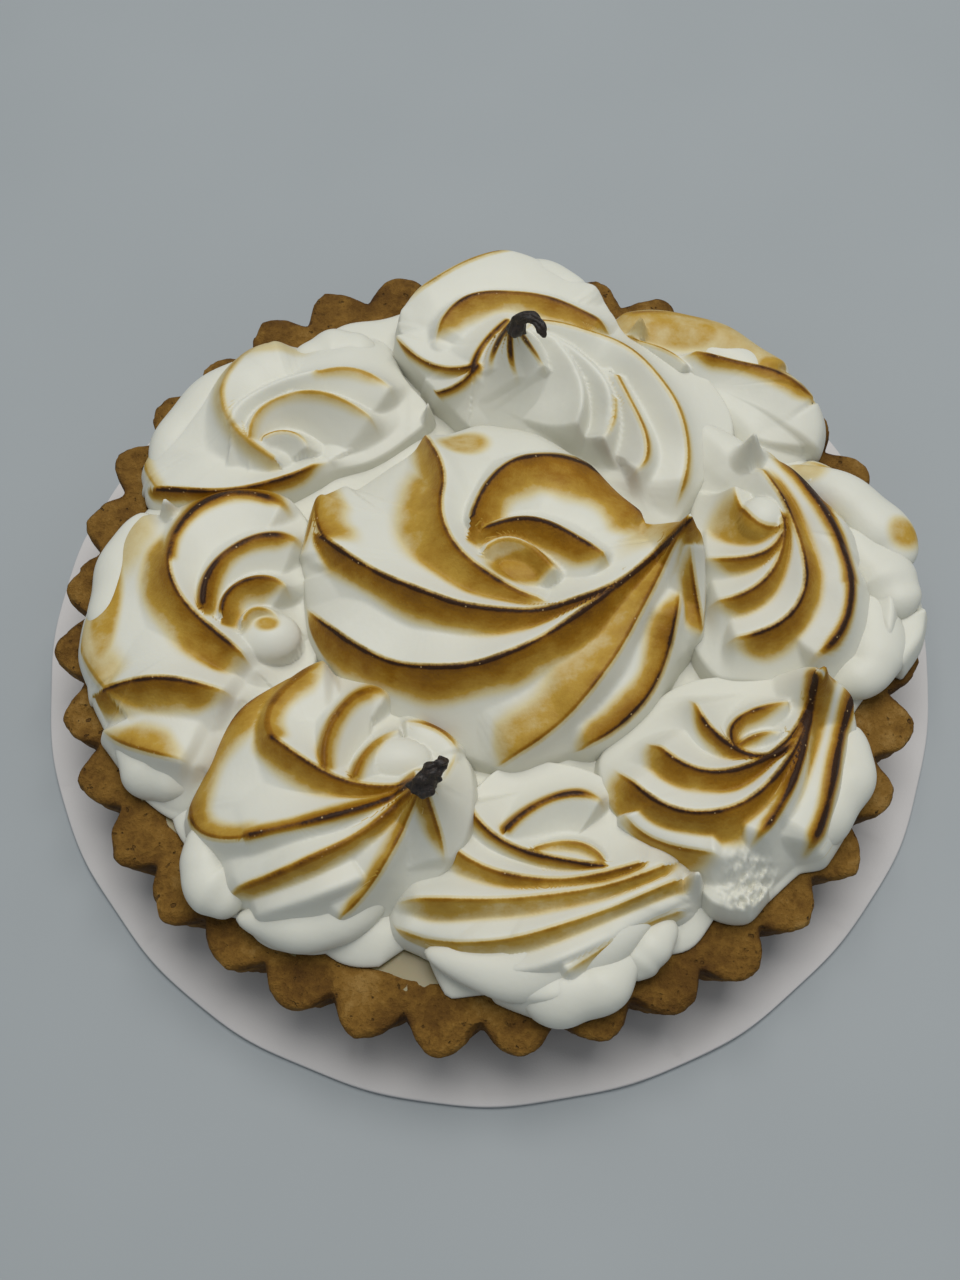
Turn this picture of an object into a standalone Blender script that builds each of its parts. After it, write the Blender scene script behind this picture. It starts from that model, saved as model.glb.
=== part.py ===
"""Lemon meringue tart on its round card board.

A fluted shortcrust case filled with lemon curd to the rim, under nine swirls of meringue piped
with a star nozzle.  The origin is the middle of the board's underside, +Z is up and -Y is the front.
Lengths in the tables are millimetres and angles are degrees; meshes are written in metres.
"""

import math

import bmesh
import bpy
import numpy as np
from mathutils import Vector

MM = 0.001
TOUCH_GAP = 0.3                 # clearance between solids that rest on each other

# Card board
BOARD_RADIUS = 130.0
BOARD_THICKNESS = 2.0
BOARD_EDGE_BEVEL = 0.5
BOARD_SEGMENTS = 96             # mesh steps round the board

# Shortcrust case
FLUTES = 36
FLUTE_STEPS = 5                 # mesh steps round one flute
FLUTE_TURN = 3.0                # angle of the first flute's crown
RIM_HEIGHT = 29.0
RIM_RADIUS = 118.3              # middle of the flutes at the rim
RIM_FLUTE_DEPTH = 3.5           # half the height of a flute at the rim
FOOT_RADIUS = 111.0
FOOT_FLUTE_DEPTH = 2.4
FOOT_ROUND = 3.0
INNER_RIM_RADIUS = 107.5
INNER_FLOOR_RADIUS = 103.0
CASE_FLOOR = 5.0                # thickness of the pastry floor
RIM_ROUND = 1.6

# Lemon curd
CURD_EDGE_DIP = 1.2             # how far the curd's edge lies under the rim
CURD_SEGMENTS = 72              # mesh steps round the curd

# Meringue
MERINGUE_BASE = RIM_HEIGHT + TOUCH_GAP
MERINGUE_TOP = 110.0            # height that nothing piped reaches
MERINGUE_REACH = 126.0          # nothing is piped further out than this
NOZZLE_TEETH = 9
RIDGE_DEPTH = 0.27              # depth of the grooves as a share of the rope's radius
RIDGE_STEEP_SHARE = 0.35        # share of one tooth that its steep side takes
ROPE_LIE = 27.0                 # height of the underside of a freshly piped rope
ROPE_STEPS = 90                 # sections along a rope
ROPE_START = 0.06               # share of a swirl over which its rope swells from nothing
TOOTH_STEPS = 8                 # mesh columns on one ridge
FOOT_SPREAD = 0.9               # half width of a rope's foot as a share of the untapered rope
HAND_STEADINESS = 0.05          # share of a swirl over which the hand's path is rounded
BED_RADIUS = 100.0              # meringue that fills the hollows between the ropes
BED_HEIGHT = 47.0               # its top at the middle
BED_FALL = 12.0                 # how much lower it is at its edge
BED_ROWS = 9                    # mesh rings and columns of that fill
BED_COLUMNS = 40
REACH_SOFTNESS = 11.0           # depth over which the outer sides are flattened
VOXEL = 1.5                     # grain at which a rope and its fill are fused
SWIRL_TRIANGLES_PER_REACH = 12.6    # triangles kept for each millimetre of a swirl's reach

# How far out the meringue reaches round the tart: angle from +X, radius.
REACH = ((0, 122), (18, 121), (35, 118), (48, 119), (60, 112), (75, 112), (90, 116), (105, 111),
         (121, 106), (140, 105), (155, 107), (170, 110), (185, 113), (200, 105), (214, 100), (228, 104),
         (242, 109), (252, 102), (260, 103), (268, 113), (280, 118), (294, 114), (312, 113), (330, 117),
         (345, 113))

# One entry for each swirl, as the hand with the piping bag moves:
# eye = middle of the loop, tip = where the bag is pulled away, start and sweep = angles of the loop,
# loop = radius of the rope's path at its start, when full and at its end, rope = half its width there,
# flat = height over width, turn = angle of the nozzle, twist = ridges turned for each turn of the loop,
# pull and taper = shares of the path after which it heads for the tip and grows thinner,
# stretch = the loop's size along X and Y, uneven = how far and from where the teeth stand apart,
# sway = how far and from where the ridges swing to and fro.
SWIRLS = {
    "centre": dict(eye=(8, 3), tip=(51, 4, 76), start=-35, sweep=405, loop=(5, 27, 32), rope=(18, 33, 33),
                   flat=0.85, turn=-31, twist=0.81, pull=0.93, taper=0.63, stretch=(1.26, 1.09),
                   uneven=(0.11, 111), sway=(14, -0.49)),
    "left": dict(eye=(-70, -15), tip=(-51, -39, 56), start=10, sweep=226, loop=(10, 27, 22), rope=(6, 31, 33),
                 flat=0.6, turn=-58, twist=0.71, pull=0.93, taper=0.91, stretch=(1.01, 0.93),
                 uneven=(0.21, -105), sway=(-20, 0.1)),
    "left_back": dict(eye=(-62, 38), tip=(-43, 35, 60), start=-36, sweep=299, loop=(8, 26, 25),
                      rope=(11, 28, 29), flat=0.5, turn=-71, twist=0.64, pull=0.75, taper=0.81,
                      stretch=(0.99, 1.05), uneven=(0.15, 145), sway=(-24, 0.08)),
    "left_front": dict(eye=(-29, -64), tip=(-14, -65, 80), start=-9, sweep=302, loop=(8, 27, 29),
                       rope=(11, 28, 29), flat=0.68, turn=-58, twist=0.87, pull=0.65, taper=0.63,
                       stretch=(1.05, 0.85), uneven=(0.31, 219), sway=(12, -0.57)),
    "front": dict(eye=(14, -65), tip=(57, -83, 55), start=0, sweep=345, loop=(9, 24, 30), rope=(13, 27, 27),
                  flat=0.68, turn=-121, twist=0.68, pull=0.85, taper=0.52, stretch=(1.2, 0.91),
                  uneven=(0.26, -11), sway=(10, 0.31)),
    "right_front": dict(eye=(74, -44), tip=(91, -35, 66), start=21, sweep=366, loop=(2, 16, 31),
                        rope=(15, 28, 33), flat=0.5, turn=-50, twist=1.02, pull=0.86, taper=0.69,
                        stretch=(0.95, 0.96), uneven=(0.13, 33), sway=(13, -0.11)),
    "right": dict(eye=(80, 18), tip=(76, 43, 65), start=80, sweep=350, loop=(8, 17, 15), rope=(11, 21, 24),
                  flat=0.78, turn=29, twist=1.02, pull=0.9, taper=0.68, stretch=(0.92, 0.98),
                  uneven=(0.1, 161), sway=(8, -0.1)),
    "right_back": dict(eye=(72, 60), tip=(42, 82, 58), start=200, sweep=300, loop=(8, 21, 21),
                       rope=(9, 21, 21), flat=0.68, turn=-40, twist=0.9, pull=0.8, taper=0.7,
                       stretch=(1.0, 1.0), uneven=(0.1, 0), sway=(8, 0.2)),
    "back": dict(eye=(7, 58), tip=(8, 67, 76), start=213, sweep=340, loop=(5, 25, 29), rope=(18, 30, 24),
                 flat=0.67, turn=-113, twist=0.83, pull=0.81, taper=0.83, stretch=(1.3, 1.12),
                 uneven=(0.35, 170), sway=(-25, 0.01)),
}


# ------------------------------------------------------------------ helpers

def ease(x):
    """Smooth step from 0 to 1."""
    x = np.clip(x, 0.0, 1.0)
    return x * x * (3.0 - 2.0 * x)


def mix(a, b, share):
    return a + (b - a) * share


def material(name, colour, roughness):
    """Principled material with one colour and one roughness."""
    mat = bpy.data.materials.new(name)
    mat.use_nodes = True
    shader = mat.node_tree.nodes["Principled BSDF"]
    shader.inputs["Base Color"].default_value = (*colour, 1.0)
    shader.inputs["Roughness"].default_value = roughness
    shader.inputs["Metallic"].default_value = 0.0
    return mat


def add_object(name, mesh, collection, mat=None):
    obj = bpy.data.objects.new(name, mesh)
    collection.objects.link(obj)
    if mat:
        mesh.materials.append(mat)
    return obj


def loft(rings, closed_ends=True):
    """Mesh through rings of points (mm) that all have the same count, with both ends closed."""
    bm = bmesh.new()
    loops = [[bm.verts.new(Vector(point) * MM) for point in ring] for ring in rings]
    for lower, upper in zip(loops, loops[1:]):
        for i in range(len(lower)):
            j = (i + 1) % len(lower)
            bm.faces.new((lower[i], lower[j], upper[j], upper[i]))
    if closed_ends:
        for ring, flip in ((loops[0], True), (loops[-1], False)):
            middle = sum((vert.co for vert in ring), Vector()) / len(ring)
            pole = bm.verts.new(middle)
            for i in range(len(ring)):
                a, b = ring[i], ring[(i + 1) % len(ring)]
                bm.faces.new((b, a, pole) if flip else (a, b, pole))
    bmesh.ops.recalc_face_normals(bm, faces=bm.faces)
    mesh = bpy.data.meshes.new("loft")
    bm.to_mesh(mesh)
    bm.free()
    return mesh


def turned(name, profile, segments, collection, mat):
    """Solid of revolution: a profile (radius, z) in mm, from the axis down its outer side to the axis."""
    mesh = bpy.data.meshes.new(name)
    points = [(radius * MM, 0.0, z * MM) for radius, z in profile]
    mesh.from_pydata(points, [(i, i + 1) for i in range(len(points) - 1)], [])
    obj = add_object(name, mesh, collection, mat)
    screw = obj.modifiers.new("turn", "SCREW")
    screw.steps = screw.render_steps = segments
    screw.use_merge_vertices = True
    screw.merge_threshold = 0.00005
    screw.use_smooth_shade = False
    return obj


# ------------------------------------------------------------------ board, case and curd

def make_board(collection):
    mat = material("board_card", (0.36, 0.35, 0.34), 0.55)
    bevel = BOARD_EDGE_BEVEL
    profile = [(0.0, BOARD_THICKNESS), (BOARD_RADIUS - bevel, BOARD_THICKNESS),
               (BOARD_RADIUS, BOARD_THICKNESS - bevel), (BOARD_RADIUS, bevel),
               (BOARD_RADIUS - bevel, 0.0), (0.0, 0.0)]
    return turned("cake_board", profile, BOARD_SEGMENTS, collection, mat)


def flute(angle):
    """Height of the fluted edge at an angle, -1 in a narrow groove and 1 on a round crown."""
    half = FLUTES * (angle - math.radians(FLUTE_TURN)) / 2.0
    return 2.0 * (math.cos(half) ** 2 + 0.015) ** 0.42 - 1.0


def case_ring(radius, depth, z):
    count = FLUTES * FLUTE_STEPS
    ring = []
    for i in range(count):
        angle = 2.0 * math.pi * i / count
        r = radius + depth * flute(angle)
        ring.append((r * math.cos(angle), r * math.sin(angle), z))
    return ring


def make_case(collection):
    mat = material("shortcrust", (0.26, 0.13, 0.045), 0.8)
    foot = BOARD_THICKNESS + TOUCH_GAP
    rings = [
        case_ring(INNER_FLOOR_RADIUS, 0.0, foot + CASE_FLOOR),
        case_ring(INNER_RIM_RADIUS - RIM_ROUND / 2, 0.0, RIM_HEIGHT - RIM_ROUND),
        case_ring(INNER_RIM_RADIUS + RIM_ROUND, 0.0, RIM_HEIGHT),
        case_ring(RIM_RADIUS - RIM_ROUND, RIM_FLUTE_DEPTH * 0.8, RIM_HEIGHT),
        case_ring(RIM_RADIUS, RIM_FLUTE_DEPTH, RIM_HEIGHT - RIM_ROUND),
        case_ring(FOOT_RADIUS, FOOT_FLUTE_DEPTH, foot + FOOT_ROUND),
        case_ring(FOOT_RADIUS - FOOT_ROUND, FOOT_FLUTE_DEPTH * 0.5, foot),
    ]
    return add_object("crust", loft(rings), collection, mat)


def make_curd(collection):
    mat = material("lemon_curd", (0.62, 0.5, 0.2), 0.2)
    floor = BOARD_THICKNESS + TOUCH_GAP + CASE_FLOOR + TOUCH_GAP
    edge = RIM_HEIGHT - CURD_EDGE_DIP - RIM_ROUND
    slope = (INNER_RIM_RADIUS - RIM_ROUND / 2 - INNER_FLOOR_RADIUS) / (
        RIM_HEIGHT - RIM_ROUND - BOARD_THICKNESS - TOUCH_GAP - CASE_FLOOR)
    inner = INNER_FLOOR_RADIUS - TOUCH_GAP * 2.0
    outer = inner + slope * (edge - floor)
    top = RIM_HEIGHT - 0.2
    profile = [(0.0, top), (outer - 9.0, top), (outer - 3.0, edge + 1.2), (outer, edge),
               (inner, floor), (0.0, floor)]
    return turned("lemon_curd", profile, CURD_SEGMENTS, collection, mat)


# ------------------------------------------------------------------ meringue

def tooth(phase):
    """Height of one ridge, 1 on its crest at whole phases and 0 in the groove."""
    phase = phase - np.floor(phase)
    easy = np.clip(1.0 - phase / (1.0 - RIDGE_STEEP_SHARE), 0.0, 1.0) ** 1.7
    steep = np.clip(1.0 - (1.0 - phase) / RIDGE_STEEP_SHARE, 0.0, 1.0) ** 1.5
    return np.maximum(easy, steep)


def staged(sizes, grown, late):
    """A size at the start, when full and at the end of a rope."""
    return mix(mix(sizes[0], sizes[1], grown), sizes[2], late)


def rope_path(swirl, t):
    """Middle of the rope at shares t of its length, its half width and height, and its untapered width."""
    angle = np.radians(swirl["start"] + swirl["sweep"] * t)
    grown, late = ease(t / 0.45), ease((t - 0.4) / 0.6)
    loop = staged(swirl["loop"], grown, late)
    x = swirl["eye"][0] + loop * np.cos(angle) * swirl["stretch"][0]
    y = swirl["eye"][1] + loop * np.sin(angle) * swirl["stretch"][1]
    pulled = ease((t - swirl["pull"]) / (1.0 - swirl["pull"]))
    x = mix(x, swirl["tip"][0], pulled)
    y = mix(y, swirl["tip"][1], pulled)
    drawn = np.clip((t - swirl["taper"]) / (1.0 - swirl["taper"]), 0.0, 1.0)
    full = staged(swirl["rope"], grown, late)
    width = mix(full, 1.2, drawn ** 1.6)
    height = width * swirl["flat"]
    z = mix(ROPE_LIE + 0.8 * height, swirl["tip"][2], drawn ** 1.7)
    return np.stack([x, y, z], -1), width, height, full


def steadied(track, reach):
    """A track smoothed over a reach of rows, its ends kept in place."""
    count = max(int(round(reach)), 1)
    lead = np.arange(count, 0, -1)
    before = 2.0 * track[:1] - track[lead]
    after = 2.0 * track[-1:] - track[-1 - lead[::-1]]
    padded = np.concatenate([before, track, after])
    kernel = np.hanning(2 * count + 3)[1:-1]
    kernel /= kernel.sum()
    return np.stack([np.convolve(column, kernel, "valid") for column in padded.T], -1)


def held_in(places):
    """Places drawn inward so that none lies beyond the meringue's reach."""
    radius = np.hypot(places[..., 0], places[..., 1])
    angle = np.degrees(np.arctan2(places[..., 1], places[..., 0])) % 360.0
    around, reach = np.array(REACH + ((360 + REACH[0][0], REACH[0][1]),), dtype=float).T
    edge = np.interp(angle, around, reach) - REACH_SOFTNESS
    over = np.maximum(radius - edge, 0.0) / REACH_SOFTNESS
    kept = np.where(over > 0.0, edge + REACH_SOFTNESS * (1.0 - np.exp(-over) + 0.06 * over), radius)
    places = places.copy()
    places[..., :2] *= (kept / np.maximum(radius, 1e-6))[..., None]
    return places


def rope_rings(swirl):
    """Star-shaped sections along the rope; each tooth of the nozzle keeps its own mesh columns."""
    t = np.linspace(0.0, 1.0, ROPE_STEPS + 1)
    middle, width, height, full = rope_path(swirl, t)
    middle = steadied(middle, ROPE_STEPS * HAND_STEADINESS)
    run = np.gradient(middle, axis=0)
    heading = np.unwrap(np.arctan2(run[:, 1], run[:, 0]))
    heading = steadied(heading[:, None], ROPE_STEPS * HAND_STEADINESS)[:, 0]
    first = math.radians(swirl["start"] + 90.0)
    heading += 2.0 * math.pi * round((first - heading[0]) / (2.0 * math.pi))
    climb = 0.8 * np.arctan2(run[:, 2], np.hypot(run[:, 0], run[:, 1]))
    side = np.stack([np.sin(heading), -np.cos(heading), 0.0 * heading], -1)
    up = np.stack([-np.sin(climb) * np.cos(heading), -np.sin(climb) * np.sin(heading), np.cos(climb)], -1)

    far, since = swirl["sway"]
    turn = ((heading - math.pi / 2) * swirl["twist"] - math.radians(swirl["turn"])
            + math.radians(far) * np.sin(2.0 * math.pi * (1.5 * t - since)))
    phase = np.arange(NOZZLE_TEETH * TOOTH_STEPS) / TOOTH_STEPS
    apart, side_apart = swirl["uneven"]
    teeth = 2.0 * math.pi * np.arange(NOZZLE_TEETH + 1) / NOZZLE_TEETH
    shift = np.interp(phase, np.arange(NOZZLE_TEETH + 1), apart * np.sin(teeth - math.radians(side_apart)))
    angle = 2.0 * math.pi * (phase + shift)[None, :] / NOZZLE_TEETH + turn[:, None]
    size = 1.0 - RIDGE_DEPTH * (1.0 - tooth(phase))[None, :]

    begun = np.sqrt(1.0 - (1.0 - np.clip(t / ROPE_START, 0.0, 1.0)) ** 2)[:, None]
    ended = ease((t - 0.8) / 0.2)
    foot = mix(middle[:, 2] - MERINGUE_BASE, height, ended)
    spread = mix(np.maximum(FOOT_SPREAD * full, width), width, ended)
    level, rise = np.cos(angle), np.sin(angle)
    across = mix(width[:, None], spread[:, None], ease(-rise)) * size * level * begun
    above = np.maximum(rise, 0.0) * height[:, None] * size * begun
    below = np.minimum(rise, 0.0) * foot[:, None] * mix(size, 1.0, 0.4) * begun
    rings = middle[:, None] + side[:, None] * across[..., None] + up[:, None] * above[..., None]
    rings[..., 2] = np.maximum(rings[..., 2] + below, MERINGUE_BASE - 1.0)
    return held_in(rings)


def bed_rings(swirl):
    """Low meringue round the eye that closes the hollows inside and beside the rope."""
    radius = reach(swirl) * np.sin(np.linspace(0.04, 1.0, BED_ROWS) * math.pi / 2)[:, None]
    around = np.linspace(0.0, 2.0 * math.pi, BED_COLUMNS, endpoint=False)
    x = swirl["eye"][0] + radius * np.cos(around)
    y = swirl["eye"][1] + radius * np.sin(around)
    share = np.hypot(x, y) / BED_RADIUS
    body = (BED_HEIGHT - MERINGUE_BASE - BED_FALL * share ** 3) * np.sqrt(np.clip(1.0 - share ** 6, 0.0, 1.0))
    top = np.stack([x, y, MERINGUE_BASE + np.maximum(body, -1.0)], -1)
    under = top[-1:].copy()
    under[..., 2] = MERINGUE_BASE - 1.0
    return np.concatenate([top, under])


def reach(swirl):
    return swirl["loop"][2] + swirl["rope"][2]


def clip(polygon, point, normal):
    """Part of a convex polygon that lies behind a line."""
    kept = []
    for a, b in zip(polygon, polygon[1:] + polygon[:1]):
        da = (a - point).dot(normal)
        db = (b - point).dot(normal)
        if da <= 0.0:
            kept.append(a)
        if da * db < 0.0:
            kept.append(a.lerp(b, da / (da - db)))
    return kept


def plot(name):
    """The plot of the tart that a swirl fills, cut back from its neighbours by half the gap."""
    swirl = SWIRLS[name]
    eye = Vector(swirl["eye"])
    polygon = [Vector((MERINGUE_REACH * math.cos(a), MERINGUE_REACH * math.sin(a)))
               for a in (2.0 * math.pi * k / 72 for k in range(72))]
    for other, neighbour in SWIRLS.items():
        if other == name:
            continue
        away = Vector(neighbour["eye"]) - eye
        if away.length > reach(swirl) + reach(neighbour):
            continue
        share = reach(swirl) / (reach(swirl) + reach(neighbour))
        border = eye + away * share - away.normalized() * TOUCH_GAP / 2
        polygon = clip(polygon, border, away.normalized())
    return polygon


def largest_piece(mesh):
    """Keep the biggest connected piece of a mesh."""
    bm = bmesh.new()
    bm.from_mesh(mesh)
    left = set(bm.verts)
    pieces = []
    while left:
        stack = [left.pop()]
        piece = set(stack)
        while stack:
            for edge in stack.pop().link_edges:
                for vert in edge.verts:
                    if vert not in piece:
                        piece.add(vert)
                        left.discard(vert)
                        stack.append(vert)
        pieces.append(piece)
    pieces.sort(key=len, reverse=True)
    for piece in pieces[1:]:
        bmesh.ops.delete(bm, geom=list(piece), context="VERTS")
    bm.to_mesh(mesh)
    bm.free()


def evaluated(obj):
    """The object's mesh with its modifiers applied."""
    graph = bpy.context.evaluated_depsgraph_get()
    return bpy.data.meshes.new_from_object(obj.evaluated_get(graph))


def make_swirl(name, swirl, collection, cutters, mat):
    draft = add_object(name + "_draft", loft(rope_rings(swirl)), collection)
    bed = loft(bed_rings(swirl))
    bm = bmesh.new()
    bm.from_mesh(draft.data)
    bm.from_mesh(bed)
    bm.to_mesh(draft.data)
    bm.free()
    bpy.data.meshes.remove(bed)

    remesh = draft.modifiers.new("fuse", "REMESH")
    remesh.mode = "VOXEL"
    remesh.voxel_size = VOXEL * MM
    fused = evaluated(draft)
    bpy.data.objects.remove(draft)
    largest_piece(fused)

    target = SWIRL_TRIANGLES_PER_REACH * reach(swirl)
    triangles = sum(len(face.vertices) - 2 for face in fused.polygons)
    obj = add_object("meringue_swirl_" + name, fused, collection)
    decimate = obj.modifiers.new("thin_out", "DECIMATE")
    decimate.ratio = target / triangles

    plinth = loft([[(p.x, p.y, z) for p in plot(name)] for z in (MERINGUE_BASE, MERINGUE_TOP)])
    cutter = add_object(name + "_plot", plinth, cutters)
    cutter.hide_render = True
    cutter.display_type = "WIRE"
    trim = obj.modifiers.new("trim", "BOOLEAN")
    trim.operation = "INTERSECT"
    trim.object = cutter
    trimmed = evaluated(obj)
    obj.modifiers.clear()
    obj.data = trimmed
    largest_piece(trimmed)
    trimmed.materials.clear()
    trimmed.materials.append(mat)
    return obj


# ------------------------------------------------------------------ the whole tart

def main():
    for obj in list(bpy.data.objects):
        bpy.data.objects.remove(obj, do_unlink=True)
    tart = bpy.data.collections.new("lemon_meringue_tart")
    cutters = bpy.data.collections.new("cutters")
    for collection in (tart, cutters):
        bpy.context.scene.collection.children.link(collection)
    make_board(tart)
    make_case(tart)
    make_curd(tart)
    meringue = material("meringue", (0.8, 0.79, 0.74), 0.45)
    for name, swirl in SWIRLS.items():
        make_swirl(name, swirl, tart, cutters, meringue)


main()
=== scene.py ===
"""Lemon meringue tart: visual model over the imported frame.

The tart stands on its round card board: a fluted shortcrust case, lemon curd up to the rim and a
crown of meringue swirls piped with a star nozzle and browned with a torch.  Tables are in
millimetres and degrees, meshes in metres.
"""

import math

import bmesh
import bpy
import numpy as np
from mathutils import Matrix, Vector


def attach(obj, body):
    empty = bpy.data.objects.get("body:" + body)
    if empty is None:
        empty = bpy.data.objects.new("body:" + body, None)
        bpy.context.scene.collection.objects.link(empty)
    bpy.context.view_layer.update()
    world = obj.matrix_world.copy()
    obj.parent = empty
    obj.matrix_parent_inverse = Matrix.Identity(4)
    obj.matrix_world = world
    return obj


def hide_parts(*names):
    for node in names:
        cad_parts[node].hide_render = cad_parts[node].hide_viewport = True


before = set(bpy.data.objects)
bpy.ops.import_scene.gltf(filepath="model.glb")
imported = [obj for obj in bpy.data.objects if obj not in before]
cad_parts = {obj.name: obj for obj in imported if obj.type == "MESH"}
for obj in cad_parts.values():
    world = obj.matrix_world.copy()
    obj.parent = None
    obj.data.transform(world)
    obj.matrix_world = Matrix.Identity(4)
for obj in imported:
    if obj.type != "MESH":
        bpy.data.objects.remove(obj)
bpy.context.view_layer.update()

bl_info = {
    "name": "Lemon Meringue Tart",
    "version": (1, 0, 0),
    "blender": (4, 5, 0),
    "location": "View3D > Sidebar > Tart",
    "description": "Builds a torched lemon meringue tart on a card board",
    "category": "Object",
}

MM = 0.001

# ------------------------------------------------------------------ sizes

BOARD_THICKNESS = 2.0

# Short creases pressed into the card near its edge: angle from +X, inner and outer end.
CREASES = ((219, 112, 129), (222, 104, 114), (318, 118, 130), (326, 121, 130), (331, 114, 124),
           (292, 122, 129), (268, 121, 128), (251, 114, 124), (185, 122, 129), (197, 124, 129))
CREASE_DEPTH = 0.4
CREASE_WIDTH = 1.0

FLUTES = 36
FLUTE_TURN = 3.0
FLUTE_COLUMNS = 24              # mesh columns to one flute
CRUST_FOOT = 2.3
RIM_HEIGHT = 29.0
RIM_RADIUS = 118.3
FOOT_RADIUS = 111.0
FOOT_FLUTE_DEPTH = 2.4
INNER_RIM_RADIUS = 107.0
CURD_RADIUS = 108.2
CURD_LEVEL = 28.3

MERINGUE_BASE = 29.3
BED_RADIUS = 106.0              # as far as the swirls, less the inset below
BED_INSET = 1.5
BED_HEIGHT = 35.5               # top of the meringue between the swirls, at the middle
BED_FALL = 2.5                 # how much lower it is at its edge
BED_SHOULDER = 14.0             # width of the rounded edge

# One entry for each swirl: top = height of its ring of petals, eye = middle of its hollow, with its
# depth, tip = where the bag was pulled away, round = its outline on the plan, counterclockwise.
SWIRLS = {
    "centre": dict(top=65, eye=(9, 2, 8), tip=(53, 9, 75), round=(
        (-53, 12), (-53, -4), (-47, -18), (-38, -29), (-24, -40), (-8, -48), (4, -52), (14, -50), (21, -48),
        (34, -43), (44, -35), (51, -24), (57, -14), (60, 0), (58, 12), (49, 19), (41, 29), (29, 42), (15, 52),
        (2, 57), (-10, 55), (-21, 50), (-31, 44), (-43, 36), (-51, 27))),
    "left": dict(top=54, eye=(-61, -9, 8), tip=(-90, 31, 48), round=(
        (-50, 32), (-62, 38), (-76, 39), (-89, 38), (-100, 32), (-107, 19), (-112, 4), (-113, -8), (-111, -21),
        (-107, -33), (-102, -44), (-94, -54), (-84, -60), (-76, -55), (-68, -44), (-60, -32), (-48, -24),
        (-43, -10), (-43, 6), (-46, 20))),
    "left_back": dict(top=53, eye=(-57, 48, 7), tip=(-15, 60, 52), round=(
        (-12, 62), (-20, 76), (-27, 94), (-40, 96), (-55, 93), (-73, 85), (-86, 73), (-95, 59), (-99, 47),
        (-98, 36), (-84, 31), (-72, 31), (-58, 33), (-44, 40), (-30, 44), (-19, 52))),
    "left_front": dict(top=58, eye=(-26, -48, 7), tip=(-16, -62, 75), round=(
        (-36, -18), (-48, -19), (-62, -27), (-71, -37), (-78, -50), (-82, -61), (-82, -70), (-80, -77),
        (-76, -84), (-68, -87), (-61, -94), (-48, -97), (-38, -95), (-29, -90), (-20, -86), (-10, -80),
        (-3, -70), (-1, -58), (-3, -46), (-12, -36), (-24, -26))),
    "front": dict(top=50, eye=(16, -70, 4), tip=(52, -80, 49), round=(
        (-6, -50), (-15, -62), (-23, -76), (-30, -85), (-28, -91), (-18, -97), (-8, -103), (2, -108),
        (9, -113), (16, -115), (23, -113), (29, -106), (37, -98), (46, -91), (55, -86), (54, -75), (44, -67),
        (37, -57), (31, -48), (18, -43), (4, -43))),
    "right_front": dict(top=56, eye=(69, -44, 8), tip=(86, -31, 66), round=(
        (25, -46), (27, -58), (33, -67), (41, -74), (50, -81), (56, -89), (66, -91), (73, -85), (80, -79),
        (88, -72), (95, -62), (99, -50), (99, -38), (96, -28), (87, -22), (74, -20), (60, -19), (49, -22),
        (38, -30), (30, -38))),
    "right": dict(top=56, eye=(70, 22, 6), tip=(74, 40, 63), round=(
        (54, 66), (66, 60), (77, 51), (88, 42), (98, 30), (106, 18), (110, 6), (113, -4), (111, -16),
        (106, -25), (96, -30), (84, -30), (72, -28), (60, -26), (53, -14), (52, 4), (53, 18), (55, 30),
        (56, 42), (53, 54))),
    "right_back": dict(top=50, eye=(70, 74, 6), tip=(46, 86, 52), round=(
        (36, 92), (41, 97), (56, 98), (72, 94), (87, 83), (96, 70), (99, 58), (96, 48), (88, 40), (78, 44),
        (66, 54), (54, 64), (42, 78))),
    "right_outer": dict(top=44, eye=(106, 4, 1), tip=(92, 36, 44), round=(
        (84, 44), (94, 46), (106, 38), (115, 27), (119, 20), (119, 16), (122, 8), (122, -2), (119, -12),
        (113, -21), (104, -26), (97, -18), (93, 0), (88, 18), (82, 34))),
    "back": dict(top=57, rim=47, eye=(30, 50, 9), tip=(9, 72, 75), round=(
        (-27, 90), (-24, 98), (-15, 107), (-5, 112), (6, 114), (17, 112), (29, 106), (39, 98), (46, 86),
        (56, 82), (67, 74),
        (75, 58), (73, 44), (64, 34), (54, 20), (42, 22), (28, 34), (14, 44), (4, 50), (-8, 56), (-14, 66),
        (-22, 76))),
}
# Burnt, curled ends of the two tallest tips: places along each, with half its width.
BURNT_TIPS = (
    ((9, 69, 66, 3.0), (9.5, 70.5, 72, 2.2), (11.5, 71, 75, 1.9), (14.5, 69.5, 75.3, 1.9), (16.5, 66.5, 73.5, 1.6),
     (16.8, 64.5, 71.5, 0.8)),
    ((-18, -64.5, 67, 3.4), (-16.5, -62.5, 71.5, 2.9), (-14.5, -60.5, 74, 2.6), (-12, -58.8, 75, 2.2),
     (-10.2, -57.4, 74.6, 1.0)),
)

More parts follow.
